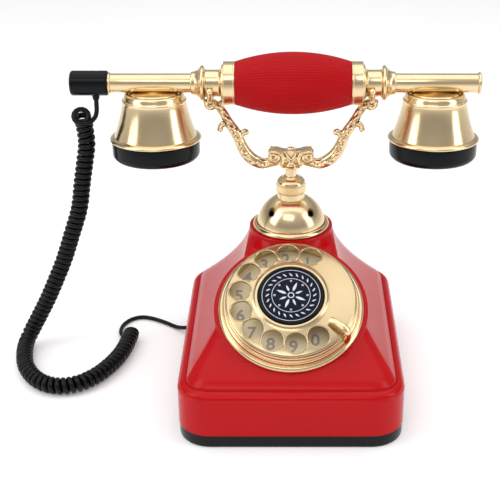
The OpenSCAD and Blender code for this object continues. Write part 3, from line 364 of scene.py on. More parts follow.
def swept(points, radii, sides=12, squeeze=(1, 1), up=Vector((0, 1, 0.1))):
    """A round section extruded from point to point, with a radius at each, and closed at both ends."""
    points = [Vector(p) for p in points]
    if not isinstance(radii, (list, tuple)):
        radii = [radii] * len(points)
    frames = frames_along(points, radii, squeeze, up)
    bm = bmesh.new()
    bmesh.ops.create_circle(bm, segments=sides, radius=1, matrix=frames[0])
    ring = bm.edges[:]
    bmesh.ops.edgeloop_fill(bm, edges=ring)
    for before, after in zip(frames, frames[1:]):
        made = bmesh.ops.extrude_edge_only(bm, edges=ring)
        ring = new_of(made, bmesh.types.BMEdge)
        bmesh.ops.transform(bm, matrix=after @ before.inverted(), verts=new_of(made, bmesh.types.BMVert))
    bmesh.ops.edgeloop_fill(bm, edges=ring)
    return closed_up(bm, 1e-6)


def smooth(points, steps):
    """Catmull-Rom curve through points, with steps points between each pair."""
    points = [Vector(p) for p in points]
    out = []
    for i in range(len(points) - 1):
        a, b = points[max(i - 1, 0)], points[i]
        c, d = points[i + 1], points[min(i + 2, len(points) - 1)]
        for k in range(steps):
            t = k / steps
            out.append(0.5 * (2 * b + (c - a) * t + (2 * a - 5 * b + 4 * c - d) * t * t
                              + (3 * b - a - 3 * c + d) * t ** 3))
    return out + [points[-1]]


def slab(outline, z0, z1):
    """Flat outline of (x, y) extruded between two heights."""
    bm = bmesh.new()
    edges = wire(bm, [(x, y, z0) for x, y in outline], True)[1]
    face = bmesh.ops.edgeloop_fill(bm, edges=edges)["faces"]
    made = bmesh.ops.extrude_face_region(bm, geom=face)
    bmesh.ops.translate(bm, vec=(0, 0, z1 - z0), verts=new_of(made, bmesh.types.BMVert))
    return closed_up(bm)


def ball(centre, radius, squash=(1, 1, 1), segments=16):
    """Ball, squashed along each axis by the given share."""
    bm = bmesh.new()
    bmesh.ops.create_uvsphere(bm, u_segments=segments, v_segments=segments // 2, radius=radius)
    bmesh.ops.scale(bm, vec=squash, verts=bm.verts)
    bmesh.ops.translate(bm, vec=centre, verts=bm.verts)
    return bm


def moved(bm, matrix):
    """bm put at its place, its faces still outward after a mirror."""
    bmesh.ops.transform(bm, matrix=matrix, verts=bm.verts)
    if matrix.determinant() < 0:
        bmesh.ops.reverse_faces(bm, faces=bm.faces)
    return bm


def merged(parts):
    """One bmesh of several closed ones."""
    out = bmesh.new()
    for part in parts:
        mesh = bpy.data.meshes.new("part")
        part.to_mesh(mesh)
        part.free()
        out.from_mesh(mesh)
        bpy.data.meshes.remove(mesh)
    return out


def plain_object(name, bm):
    mesh = bpy.data.meshes.new(name)
    bm.to_mesh(mesh)
    bm.free()
    obj = bpy.data.objects.new(name, mesh)
    bpy.context.collection.objects.link(obj)
    return obj


def mesh_of(obj):
    """bmesh of an object with its modifiers applied; the object is removed."""
    depsgraph = bpy.context.evaluated_depsgraph_get()
    mesh = bpy.data.meshes.new_from_object(obj.evaluated_get(depsgraph))
    out = bmesh.new()
    out.from_mesh(mesh)
    bpy.data.objects.remove(obj)
    bpy.data.meshes.remove(mesh)
    return out


def boolean(bm, others, operation="DIFFERENCE"):
    """bm with other solids cut away or joined, one after another."""
    for other in others:
        obj = plain_object("kept", bm)
        tool = plain_object("tool", other)
        modifier = obj.modifiers.new("boolean", "BOOLEAN")
        modifier.operation = operation
        modifier.solver = "EXACT"
        modifier.object = tool
        bm = mesh_of(obj)
        bpy.data.objects.remove(tool)
        bmesh.ops.remove_doubles(bm, verts=bm.verts, dist=1e-4)
    return bm


def grown_together(bm, voxel, rounds):
    """The parts of bm as one cast surface, softened where they meet."""
    obj = plain_object("cast", bm)
    modifier = obj.modifiers.new("remesh", "REMESH")
    modifier.mode = "VOXEL"
    modifier.voxel_size = voxel
    cast = mesh_of(obj)
    for _ in range(rounds):
        bmesh.ops.smooth_vert(cast, verts=cast.verts, factor=0.5, use_axis_x=True, use_axis_y=True,
                              use_axis_z=True)
    return cast


def piece(name, bm, material, body, replaces=(), at=AT_BASE, sharp=35, bevel=0):
    """Finished piece: bm is in millimetres in the frame that at places."""
    bmesh.ops.transform(bm, matrix=Matrix.Diagonal((MM, MM, MM, 1)) @ at, verts=bm.verts)
    if at.determinant() < 0:
        bmesh.ops.reverse_faces(bm, faces=bm.faces)
    for face in bm.faces:
        face.smooth = True
    for edge in bm.edges:
        edge.smooth = len(edge.link_faces) == 2 and edge.calc_face_angle(0) < math.radians(sharp)
    obj = plain_object(name, bm)
    obj.data.materials.append(material)
    if bevel:
        modifier = obj.modifiers.new("bevel", "BEVEL")
        modifier.width = bevel * MM
        modifier.segments = 2
        modifier.limit_method = "ANGLE"
        modifier.angle_limit = math.radians(sharp)
        modifier.harden_normals = True
    if body:
        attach(obj, body)
    if replaces:
        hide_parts(*replaces)
    return obj


# ---- cord ----

def handset_point(x, y, z):
    """Point of the handset's frame in the row frame."""
    return AT_HANDSET @ Vector((x, y, z))


# Down from the cap, along the curl, whose top leans forward, and over the table to the grommet
LEAD_TOP = [handset_point(CORD_EXIT_X, 0, -CORD_CAP_R - NIPPLE_LEN),
            handset_point(CORD_EXIT_X, 0, -CORD_CAP_R - NIPPLE_LEN - 5), (-132.3, 33, 188.5),
            (-133.4, 31.2, 185), (-136.8, 27.6, 182.5)]
CURL = [(-142.4, 27, 187.5), (-142.4, 29.6, 186.6), (-142.2, 32.6, 183.4), (-141.5, 34, 177),
        (-141, 33.6, 165), (-143, 33, 153), (-146.5, 33, 135), (-150, 33, 116), (-156.5, 33, 97),
        (-164.5, 34, 75), (-172, 34, 58), (-180, 35, 41), (-189, 36, 24), (-196, 36, 11), (-198, 29, 6.5),
        (-196.5, 16, 6.5), (-192.5, 0, 6.5), (-185, -14, 6.5), (-175, -24, 6.5), (-163, -28, 6.5),
        (-150, -24.5, 6.5), (-139, -14, 6.5), (-130.5, 1, 6.5), (-125, 17, 6.5), (-122.5, 32, 6.5),
        (-121, 47, 6.5)]
LEAD_FLOOR = [(-126.6, 46.8, 1.8), (-130, 51, 1.8), (-131, 58, 1.8), (-129.5, 66, 1.8),
              (-124.5, 73.5, 1.8), (-117, 76.8, 1.8), (-108, 74.5, 1.8), (-98, 68.5, 1.8), (-89.5, 62, 1.9),
              (-84.5, 57.4, 3.7), (-81, 54.9, 5.2), (-BASE_W / 2 - 2.5, GROMMET_Y, GROMMET_Z)]
CURL_PITCH = 4.35
TURN_STEPS = 14
WIDE_TURNS, WIDE_SHARE = 1.6, 0.3
LEAD_STEP = 1.2


def mix(a, b, t):
    """Value a share t of the way from a to b."""
    return a + (b - a) * t


def even(points, step):
    """The same line with points a set distance apart."""
    out = [points[0]]
    left = step
    for a, b in zip(points, points[1:]):
        length = (b - a).length
        while left <= length:
            out.append(a.lerp(b, left / length))
            left += step
        left -= length
    return out


def curl_helix():
    """Turns of the curl round its middle line, the first ones a little wider. They start a quarter turn
    in and stop at the lowest point of the last turn, where the floor lead joins."""
    middle = even(smooth(CURL, 12), CURL_PITCH / TURN_STEPS)
    radius = (CURL_D - WIRE_D) / 2
    side = Vector((1, 0, 0.1))
    out = []
    last = len(middle) - 1
    for i, p in enumerate(middle):
        ahead = (middle[min(i + 1, last)] - middle[max(i - 1, 0)]).normalized()
        side = (side - ahead * side.dot(ahead)).normalized()
        other = ahead.cross(side)
        wider = 1 + WIDE_SHARE * max(0, 1 - i / (WIDE_TURNS * TURN_STEPS))
        angle = 2 * math.pi * i / TURN_STEPS
        out.append(p + radius * wider * (math.cos(angle) * side + math.sin(angle) * other))
    lowest = min(range(last - TURN_STEPS, last), key=lambda i: out[i].z)
    return out[TURN_STEPS // 4:lowest + 1]


def cord_line():
    """Points of the cord from the cap to the grommet, and which are the curl's first and last."""
    curl = curl_helix()
    top = even(smooth(LEAD_TOP + [curl[0]], 8), LEAD_STEP)
    floor = even(smooth([curl[-1]] + LEAD_FLOOR, 8), LEAD_STEP)
    line = top[:-1] + curl + floor[1:-1] + [Vector(LEAD_FLOOR[-1])]
    first = len(top) - 1
    return line, first, first + len(curl) - 1


def make_cord():
    line, first, last = cord_line()
    curve = bpy.data.curves.new("cord", "CURVE")
    curve.dimensions = "3D"
    curve.bevel_depth = LEAD_D / 2
    curve.bevel_resolution = 2
    curve.use_fill_caps = True
    spline = curve.splines.new("POLY")
    spline.points.add(len(line) - 1)
    for i, (point, place) in enumerate(zip(spline.points, line)):
        into_curl = max(0, min(1, (i - first) / TURN_STEPS, (last - i) / TURN_STEPS))
        point.co = (*place, 1)
        point.radius = mix(1, WIRE_D / LEAD_D, into_curl)
    obj = bpy.data.objects.new("cord", curve)
    bpy.context.collection.objects.link(obj)
    cord = piece("curly_cord", closed_up(mesh_of(obj), 1e-3), CORD_PVC, None, sharp=80)
    bpy.data.curves.remove(curve)
    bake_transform(cord)
    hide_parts("cord_lead_top", "cord_curl", "cord_lead_floor")


make_cord()


# ---- base and housing ----

def section(bm, hx, front, back, z, front_r, back_r):
    """Rectangle with round corners as a loop of edges, the same number of them whatever its size."""
    before = set(bm.edges)
    corners = wire(bm, [(-hx, front, z), (hx, front, z), (hx, back, z), (-hx, back, z)], True)[0]
    for vert, r in zip(corners, (front_r, front_r, back_r, back_r)):
        reach = min(r, 0.999 * hx, 0.4995 * (back - front))
        bmesh.ops.bevel(bm, geom=[vert], offset=reach, offset_type="OFFSET", segments=12, profile=0.5,
                        affect="VERTICES", clamp_overlap=False, material=-1)
    straights = [e for e in bm.edges if e not in before and min(
        abs(e.verts[0].co.x - e.verts[1].co.x), abs(e.verts[0].co.y - e.verts[1].co.y)) < 1e-6]
    bmesh.ops.subdivide_edges(bm, edges=straights, cuts=7)
    return [e for e in bm.edges if e not in before]


def stacked(sections):
    """Closed solid through sections given as (half width, front, back, z, front radius, back radius)."""
    bm = bmesh.new()
    loops = [section(bm, *s) for s in sections]
    for low, high in zip(loops, loops[1:]):
        bmesh.ops.bridge_loops(bm, edges=low + high)
    for loop in (loops[0], loops[-1]):
        bmesh.ops.edgeloop_fill(bm, edges=loop)
    return closed_up(bm, 0.01)


def skirt(inset, z, w=BASE_W, d=BASE_D, r=CORNER_R):
    """Section of the base's outline at a height, drawn in by inset."""
    return (w / 2 - inset, inset - d / 2, d / 2 - inset, z, r - inset, r - inset)


FACE_END = DIAL_Z + (NECK_Y - NECK_R - DIAL_Y) * math.tan(math.radians(SLOPE))
CREASE_R = 7
# Well of the dial's works below the face, pocket of the bezel above it, and the plunger guide's bore.
# The well is wider than the shell there and opens its sides under the dial, as in the CAD.
WELL_DEPTH, POCKET_H, BORE_R, CLEAR = 14, 18, 6.6, 0.3
# Mouth of the line jack in the back wall
JACK_MOUTH = [(35.9, 84), (52.1, 84), (52.1, 96), (35.9, 96)]
JACK_HEIGHTS = (12.4, 26.6)


def slope(z, inset=0.0, face_inset=0.0):
    """Section of the sloping sides at a height, as in the CAD."""
    share = ((NECK_TOP - z) / (NECK_TOP - FOOT_Z)) ** SIDE_CURVE
    foot_r = CORNER_R - SHOULDER_W
    hx = mix(NECK_R, BASE_W / 2 - SHOULDER_W, share) - inset
    front = min(DIAL_Y + (z - DIAL_Z) / math.tan(math.radians(SLOPE)), NECK_Y - NECK_R)
    front += face_inset if z < FACE_END else inset
    back = mix(NECK_Y + NECK_R, BASE_D / 2 - SHOULDER_W, share) - inset
    knee = FACE_END - 8
    if z < knee:
        front_r = mix(foot_r, CREASE_R, (z - FOOT_Z) / (knee - FOOT_Z))
    else:
        front_r = mix(CREASE_R, NECK_R, min(1, (z - knee) / (NECK_TOP - 2 - knee)))
    return (hx, front, back, z, max(2, front_r - inset / 2), mix(NECK_R, foot_r, share) - inset / 2)


def housing_outside():
    """Skirt, rounded shoulder and sloping sides, with the flat round pad under the bezel."""
    shoulder = [(0, PAN_H), (0, 36.0), (0.3, 36.35), (0.3, 36.7), (0.9, 38.2), (2.0, 39.4), (3.6, 40.3),
                (5.0, 40.6), (5.5, 40.3), (5.7, 40.4), (5.9, 41.3), (6.5, 42.3), (7.2, 42.8)]
    levels = [mix(FOOT_Z, NECK_TOP, (k / 36) ** 0.9) for k in range(37)]
    outer = stacked([skirt(i, z) for i, z in shoulder] + [slope(z) for z in levels])
    pad = turned([(0, -FACE_WALL), (PAD_RING_R, -FACE_WALL), (PAD_RING_R, 0), (0, 0)], 128, 0.6, False)
    return boolean(outer, [moved(pad, AT_DIAL)], "UNION")


def housing_inside():
    """Hollow of the housing, a wall's thickness inside it."""
    levels = [mix(FOOT_Z, NECK_TOP - 5, k / 12) for k in range(13)]
    face_inset = FACE_WALL / math.sin(math.radians(SLOPE))
    skirts = [skirt(SHELL_WALL, PAN_H - 1), skirt(SHELL_WALL, SKIRT_TOP - 2),
              skirt(SHOULDER_W, SKIRT_TOP + 2.5)]
    return stacked(skirts + [slope(z, SHELL_WALL + 0.6, face_inset) for z in levels])


def make_housing():
    """Shell, opened for the dial, the plunger guide and the line jack."""
    opening = moved(bar(OPENING_R, -WELL_DEPTH, 1, 128), AT_DIAL)
    pocket = moved(bar(BEZEL_R + CLEAR, 0, POCKET_H, 128), AT_DIAL)
    bore = moved(bar(BORE_R, 88, 110), AT_NECK)
    jack = slab(JACK_MOUTH, *JACK_HEIGHTS)
    body = boolean(housing_outside(), [housing_inside(), opening, pocket, bore, jack])
    piece("red_housing", body, RED_ABS, "base", ["housing"], sharp=32)


PADS = [(sx * (BASE_W / 2 - 28), sy * (BASE_D / 2 - 16)) for sx in (-1, 1) for sy in (-1, 1)]
AT_GROMMET = Matrix.Translation((-BASE_W / 2, GROMMET_Y, GROMMET_Z)) @ ALONG_X


def at_pads(make):
    """One of what make returns at each of the four pads, as one mesh."""
    return merged([moved(make(), Matrix.Translation((x, y, 0))) for x, y in PADS])


def make_pan():
    size = (BASE_W - 2 * PAN_INSET, BASE_D - 2 * PAN_INSET, CORNER_R - PAN_INSET)
    side = [(1.4, 0), (0.7, 0.25), (0.25, 0.8), (0, 1.6), (0, PAN_H)]
    solid = stacked([skirt(i, z, *size) for i, z in side])
    wells = at_pads(lambda: bar(PAD_R + 0.15, -1, PAD_T))
    hollow = stacked([skirt(PAN_WALL, 2.5, *size), skirt(PAN_WALL, PAN_H + 1, *size)])
    mouth = moved(bar(2.8, -2, 12, 32), AT_GROMMET)
    piece("black_pan", boolean(solid, [wells, hollow, mouth]), BLACK_ABS, "base", ["base_pan"])


def make_feet():
    foot = [(0, 0), (PAD_R, 0), (PAD_R, PAD_T), (0, PAD_T)]
    feet = at_pads(lambda: turned(foot, 48, 0.4, False))
    piece("rubber_feet", feet, RUBBER, "base", ["rubber_pads"])


def make_grommet():
    sleeve = [(1.4, -2.5), (2.4, -2.5), (3.4, 0.4), (2.8, 0.6), (2.8, 3.5), (3.1, 3.5), (3.1, 5), (1.4, 5)]
    piece("cord_strain_relief", turned(sleeve, 32, 0.3), RUBBER, "base", ["cord_grommet"], AT_GROMMET)


# ---- neck and plunger ----

VENT_R, VENT_LEAN = 2.4, 52.5
KNURLS, KNURL_STEPS = 60, 6


def make_neck_ring():
    z = NECK_TOP
    ring = [(DOME_R - 2, z), (RING_R - 0.8, z), (RING_R - 0.1, z + 0.6), (RING_R, z + 1.3),
            (RING_R - 0.5, z + 2.4), (RING_R - 1.6, z + 3.3), (DOME_R + 0.3, z + 3.6),
            (DOME_R - 0.4, z + 2.9), (DOME_R - 2, z + 3)]
    piece("gold_neck_ring", turned(ring, 160, 0.4), GOLD, "base", ["neck_ring"], AT_NECK)


def make_dome():
    """Thin dome with a collar for the nut and four round vents."""
    angles = [math.radians(a) for a in range(9, 66, 3)]
    arc = [(DOME_R * math.cos(a), DOME_Z + DOME_R * math.sin(a)) for a in angles]
    inner = [(r - 1.3, z - 0.6) for r, z in arc[::-1]]
    collar = [(9.6, arc[-1][1] + 0.5), (9.5, NUT_Z), (6.5, NUT_Z), (6.5, arc[-1][1] - 0.8)]
    shell = turned(arc + collar + inner, 160, 0.3)
    middle = Matrix.Translation((0, 0, DOME_Z))
    lean = Matrix.Rotation(math.radians(VENT_LEAN), 4, "Y")
    vents = [moved(bar(VENT_R, 15, 34, 32), middle @ Matrix.Rotation(math.radians(a), 4, "Z") @ lean)
             for a in (45, 135, 225, 315)]
    piece("gold_dome", boolean(shell, [merged(vents)]), GOLD, "base", ["dome"], AT_NECK, bevel=0.25)


def make_nut():
    """Nut with a knurled band and a rounded top, bored for the plunger."""
    r, z = NUT_R, NUT_Z
    nut = [(6.5, z), (r - 0.7, z), (r, z + 0.6), (r, z + 2), (r, z + 4), (r, z + 5.9), (r - 0.5, z + 6.5),
           (r - 0.2, z + 7.2), (r - 0.8, z + 8.6), (r - 2.2, z + 9.9), (r - 3.9, z + 10.4),
           (r - 4.6, z + 11), (STEM_R + 0.9, z + 12), (STEM_R + 0.2, z + 12), (STEM_R + 0.2, z + 4),
           (6.5, z + 4)]
    knurled = fluted(turned(nut, KNURLS * KNURL_STEPS, 0.2), KNURLS, KNURL_STEPS, 0.05, r - 0.4, z + 6.2)
    piece("knurled_gold_nut", knurled, GOLD, "base", ["knurled_nut"], AT_NECK, sharp=50)


# ---- cradle ----

ARM = [(9, 152.2), (15.6, 150.6), (20.5, 150.2), (26, 152.7), (30.5, 156.8), (33.8, 162.6), (35.9, 168),
       (38.4, 173.6), (41.4, 178.2), (43.8, 182.6), (46.2, 187.4), (49.3, 191.8), (53, 194.6)]
ARM_R = [3.3, 3.5, 4.0, 4.4, 4.4, 4.1, 3.8, 3.8, 3.6, 3.3, 3.0, 2.8, 2.7]
ARM_STEPS = 6
ARM_CURLS = ([(36.5, 169), (34.8, 170.4), (33.2, 172.4), (31.8, 174), (30.9, 173.2)],
             [(42.3, 180.2), (44.4, 179.9), (46.6, 179), (48.3, 177.2), (48.6, 175.4)],
             [(51.5, 193.8), (53.6, 191.6), (55.6, 191.4), (57.2, 193), (57.4, 195)],
             [(48, 190.5), (47.4, 193), (46.2, 195.2), (45, 196)])
LEAF_R = [0.7, 1.0, 1.15, 1.2, 1.2, 1.1, 0.95, 0.7, 0.35]
TIP_R = 2.3


def upright(points):
    """(x, z) points in the cradle's own plane."""
    return [Vector((x, 0, z)) for x, z in points]


def arm_curls():
    """Curls that leave the arm, each a tapering horn with a round tip."""
    parts = []
    for points in ARM_CURLS:
        radii = [2.6 - 0.9 * k / 20 for k in range(5 * len(points) - 4)]
        parts.append(swept(smooth(upright(points), 5), radii, 12))
        parts.append(ball((points[-1][0], 0, points[-1][1]), 2.15))
    return parts


def arm_leaves(route, radii):
    """Acanthus leaves laid along the front and the back of the arm, leaning to each side in turn."""
    parts = []
    for k in range(5, len(route) - 5, 5):
        ahead = (route[k + 1] - route[k - 1]).normalized()
        across = Vector((ahead.z, 0, -ahead.x))
        for front in (-1, 1):
            lean = across * (1.5 if k % 2 else -1.5)
            start = route[k] + Vector((0, front * (radii[k] * 0.8), 0)) - lean * 0.5
            leaf = [start, start + ahead * 2.4 + lean * 0.7 + Vector((0, front * 0.7, 0)),
                    start + ahead * 4.4 + lean * 1.7]
            parts.append(swept(smooth(leaf, 4), LEAF_R, 10))
    return parts


def fork():
    """A round prong bent under the collar, with ball tips front and back."""
    reach = WAIST_R + 0.3 + PRONG_T / 2
    angles = [math.radians(a) for a in range(192, 361, 12)]
    bend = [(FORK_X, reach * math.cos(a), HANDSET_Z + reach * math.sin(a)) for a in angles]
    prong = swept(bend + [(FORK_X, reach, HANDSET_Z + 1.5)], PRONG_T / 2 - 0.15, 16, (1, 1),
                  Vector((1, 0, 0)))
    return [prong, ball(bend[0], TIP_R), ball((FORK_X, reach, HANDSET_Z + 2), TIP_R)]


def arm_parts():
    """The right arm: stem, curls, relief leaves and the fork."""
    route = smooth(upright(ARM), ARM_STEPS)
    radii = []
    for k in range(len(route)):
        i, step = divmod(k, ARM_STEPS)
        t = step / ARM_STEPS
        radii.append(ARM_R[i] * (1 - t) + ARM_R[min(i + 1, len(ARM_R) - 1)] * t)
    return [swept(route, radii, 16, (0.95, 1))] + arm_curls() + arm_leaves(route, radii) + fork()


def scroll(centre, size, turns, start, thickness, y):
    """Spiral volute of a round bar in a plane at y."""
    n = int(turns * 20)
    line = []
    for k in range(n + 1):
        t = k / n
        r = size * (1 - 0.82 * t)
        a = math.radians(start) + 2 * math.pi * turns * t
        line.append((centre[0] + r * math.cos(a), y, centre[1] + r * math.sin(a)))
    return swept(line, [thickness * (1 - 0.35 * k / n) for k in range(n + 1)], 10)


def block_body():
    """Waisted plate in the middle of the casting."""
    z = CRADLE_Z
    right = [(8, z + 1.6), (9.5, z + 3.4), (14.8, z + 4.4), (16.2, z + 6), (15.8, z + 11.6),
             (11.2, z + 13.4), (4, z + 12.2)]
    left = [(-x, h) for x, h in right[::-1]]
    body = left[-1:] + right + [(0, z + 12.8)] + left[:-1]
    return moved(slab([(x, -h) for x, h in body], -3.4, 3.4), Matrix.Rotation(math.radians(-90), 4, "X"))


def block_scrolls():
    """A volute and a stalk at each side of the block, front and back."""
    z = CRADLE_Z
    parts = []
    for s in (-1, 1):
        for y in (-3.6, 3.6):
            volute = scroll((11.8, z + 8), 4.3, 1.6, 60, 1.25, y)
            bend = [(14.4, y, z + 12.4), (8, y * 1.15, z + 11.4), (5.3, y * 1.3, z + 8),
                    (5.8, y * 1.15, z + 3)]
            stalk = swept(smooth(bend, 6), 1.3, 10)
            for part in (volute, stalk):
                parts.append(moved(part, Matrix.Diagonal((s, 1, 1, 1))))
    return parts


def block_chevrons():
    """Two chevrons and a boss on the front and on the back of the block."""
    z = CRADLE_Z
    parts = []
    for y in (-4.3, 4.3):
        for drop in (0, 2.6):
            line = [(-3.8, y, z + 11 - drop), (0, y * 1.12, z + 6.6 - drop), (3.8, y, z + 11 - drop)]
            parts.append(swept(line, 0.8, 8))
        parts.append(ball((0, y * 0.8, z + 3.4), 2.4, (1.1, 0.8, 1)))
    return parts


def block_shell():
    """Shell of five lobes on top of the block."""
    z = CRADLE_Z
    parts = []
    for k in range(-2, 3):
        a = math.radians(90 - 28 * k)
        tip = (3.4 * math.cos(a), 0, z + 11.8 + 2.6 * math.sin(a))
        lobe = [(0, 0, z + 9.5), (tip[0] * 0.6, 0, z + 11 + 1.6 * math.sin(a)), tip]
        parts.append(swept(lobe, [0.7, 1.15, 0.85], 10, (1.9, 1)))
    return parts


def make_cradle():
    """One casting: two mirrored arms, the block with its ornament and a round flange under it."""
    z = CRADLE_Z
    parts = []
    for part in arm_parts():
        copy = part.copy()
        parts += [part, moved(copy, Matrix.Diagonal((-1, 1, 1, 1)))]
    parts += [block_body()] + block_scrolls() + block_chevrons() + block_shell()
    flange = [(0, z), (7.4, z), (7.8, z + 0.8), (6, z + 1.7), (5, z + 3), (0, z + 3)]
    parts.append(turned(flange, 48, 0.3, False))
    casting = grown_together(merged(parts), voxel=0.42, rounds=1)
    piece("cast_gold_cradle", casting, CAST_GOLD, "cradle", ["cradle"], AT_NECK, sharp=180)


def make_plunger():
    rod = [(0, 52), (STEM_R, 52), (STEM_R, 74.2), (7, 74.2), (7, 76.2), (STEM_R, 76.2),
           (STEM_R, CRADLE_Z + 0.5), (0, CRADLE_Z + 0.5)]
    piece("plunger_rod", turned(rod, 64, 0.2, False), GOLD, "cradle", ["plunger"], AT_NECK)


# ---- dial ----

def dial_place(angle, radius, height):
    """Point at a clockwise angle from the dial's top."""
    a = math.radians(90 - angle)
    return Matrix.Translation((radius * math.cos(a), radius * math.sin(a), height))


SLEEVE_R = OPENING_R - 1.6
NUMBER_TOP = 4.2
BEZEL_H = WHEEL_LIFT - 1.4
BADGE_SEAT = WHEEL_LIFT + 3
# The figures stand a little up and to the left of the holes' middles
FIGURE_SIZE = 12
FIGURE_NUDGE = Matrix.Translation((-1.6, 1.7, 0))
# Bead round a finger hole: width, height and its tilt in degrees
BEAD_W, BEAD_H, BEAD_LIE = 1.1, 0.5, 8
LEAVES, PETALS = 24, 8


def make_bezel():
    r = BEZEL_R
    inner = SLEEVE_R - 1.8
    profile = [(inner, -1.5), (SLEEVE_R, -1.5), (SLEEVE_R, 0), (r, 0), (r, 1.2), (r - 0.5, 2.4),
               (r - 1.6, 3.3), (r - 2.4, 3.5), (r - 2.9, 3.1), (r - 3.1, 3.6), (r - 3.1, 5.6),
               (r - 3.5, 6.9), (r - 4.3, 7.4), (r - 4.6, 7.2), (SLEEVE_R - 0.3, 7.4),
               (SLEEVE_R - 0.4, BEZEL_H - 0.5), (SLEEVE_R - 0.9, BEZEL_H), (inner, BEZEL_H)]
    piece("stepped_gold_bezel", turned(profile, 192, 0.3), GOLD, "base", ["dial_bezel"], AT_DIAL, sharp=50)


def figure_mesh(text):
    """One printed figure as a thin solid round the origin."""
    data = bpy.data.curves.new("figure", "FONT")
    data.body = text
    data.size = FIGURE_SIZE
    data.align_x = "CENTER"
    data.align_y = "CENTER"
    data.extrude = 0.12
    data.offset = 0.2
    figure = bpy.data.objects.new("figure", data)
    bpy.context.collection.objects.link(figure)
    bpy.context.view_layer.update()
    bm = mesh_of(figure)
    bmesh.ops.remove_doubles(bm, verts=bm.verts, dist=1e-4)
    return bm


def make_number_plate():
    disc = turned([(14, 3), (SLEEVE_R - 1.9, 3), (SLEEVE_R - 1.9, NUMBER_TOP), (14, NUMBER_TOP)], 128, 0.15)
    piece("champagne_number_plate", disc, PLATE_ENAMEL, "base", ["number_plate"], AT_DIAL)
    figures = []
    for k in range(10):
        place = dial_place(FIRST_HOLE - HOLE_PITCH * k, HOLE_CIRCLE_R - 0.6, NUMBER_TOP + 0.1)
        figures.append(moved(figure_mesh(str((k + 1) % 10)), FIGURE_NUDGE @ place))
    piece("dial_figures", merged(figures), FIGURE_INK, "base", (), AT_DIAL)


def wheel_blank():
    """The wheel before its holes: a thin cone with a raised lip round the badge's seat."""
    top = WHEEL_LIFT
    lip = BADGE_R + 0.25
    seat = BADGE_SEAT - 1.3
    upper = [(WHEEL_R, top), (WHEEL_R, top + 1), (WHEEL_R - 0.8, top + 1.6), (WHEEL_R - 4, top + 2.3),
             (WHEEL_R - 9, top + 3.0), (BADGE_R + 8, top + 3.7), (BADGE_R + 4.5, top + 4.2),
             (BADGE_R + 2.9, top + 4.8), (BADGE_R + 2.2, top + 5.4), (lip + 0.5, top + 5.4),
             (lip, top + 4.8), (lip, BADGE_SEAT), (2.6, BADGE_SEAT)]
    under = [(2.6, seat), (BADGE_R + 1.5, seat), (BADGE_R + 2.6, top + 3), (BADGE_R + 8, top + 2.3),
             (WHEEL_R - 9, top + 1.7), (WHEEL_R - 4, top + 1), (WHEEL_R - 1, top)]
    return turned(upper + under, 192, 0.3)


def hole_beads():
    """Raised bead round each finger hole, tilted to lie on the wheel's cone."""
    tilt = Matrix.Rotation(math.radians(BEAD_LIE), 4, "Y")
    profile = [(HOLE_R, -1), (HOLE_R + BEAD_W, -1), (HOLE_R + BEAD_W, 0), (HOLE_R + BEAD_W / 2, BEAD_H),
               (HOLE_R, 0.2)]
    beads = []
    for k in range(10):
        angle = FIRST_HOLE - HOLE_PITCH * k
        lie = Matrix.Rotation(math.radians(90 - angle), 4, "Z") @ tilt
        beads.append(moved(turned(profile, 64, 0.25), dial_place(angle, HOLE_CIRCLE_R, WHEEL_LIFT + 3)
                           @ lie))
    return beads


def make_wheel():
    places = [dial_place(FIRST_HOLE - HOLE_PITCH * k, HOLE_CIRCLE_R, WHEEL_LIFT) for k in range(10)]
    holes = merged([moved(bar(HOLE_R, -6, 9, 64), place) for place in places])
    wheel = merged([boolean(wheel_blank(), [holes])] + hole_beads())
    piece("gold_finger_wheel", wheel, WHEEL_GOLD, "dial", ["finger_wheel"], AT_DIAL, sharp=40, bevel=0.3)


def make_stop():
    """Finger stop: a flat strip that rises from the bezel and hooks in over the wheel."""
    out = BEZEL_R - 2.3
    line = [(out, 3.2), (out + 0.1, 9), (out, 14), (out - 1.2, 17.3), (out - 4, 18.9), (out - 8, 19.3),
            (out - 12, 19.2), (out - 15, 18.6)]
    path = smooth([(r, 0, z) for r, z in line], 6)
    widths = [3 - 1.1 * k / len(path) for k in range(len(path))]
    strip = swept(path, widths, 16, (1, 0.28), Vector((0, 1, 0)))
    place = AT_DIAL @ Matrix.Rotation(math.radians(90 - STOP_ANGLE), 4, "Z")
    piece("finger_stop_hook", strip, GOLD, "base", ["finger_stop"], place, sharp=60)


def flat_ring(r_out, r_in, z0, z1, segments=96):
    """Thin flat ring between two heights."""
    return turned([(r_in, z0), (r_out, z0), (r_out, z1), (r_in, z1)], segments, 0.05)


def petal(length, width, angle, start, z0, z1):
    """Pointed leaf that lies on the badge, its stalk start away from the centre."""
    side = [(start + length * t, width * math.sin(math.pi * t ** 0.8)) for t in (0.2, 0.4, 0.6, 0.8)]
    points = [(start, 0)] + side + [(start + length, 0)] + [(x, -y) for x, y in side[::-1]]
    c, s = math.cos(math.radians(angle)), math.sin(math.radians(angle))
    return slab([(x * c - y * s, x * s + y * c) for x, y in points], z0, z1)


def make_badge_rim():
    """Moulded rim and the shelf inside it that the disc lies on."""
    r, seat = BADGE_R, BADGE_SEAT
    rim = [(r - 2, seat), (r, seat), (r, seat + 2.6), (r - 0.6, seat + 3.2), (r - 1.6, seat + 3.1),
           (r - 2, seat + 2.6)]
    shelf = [(r - 4, seat), (r - 1.9, seat), (r - 1.9, seat + 1.5), (r - 4, seat + 1.5)]
    both = merged([turned(rim, 128, 0.3), turned(shelf, 96, 0.05)])
    piece("black_badge_rim", both, CAP_PHENOLIC, "dial", ["badge_rim"], AT_DIAL)


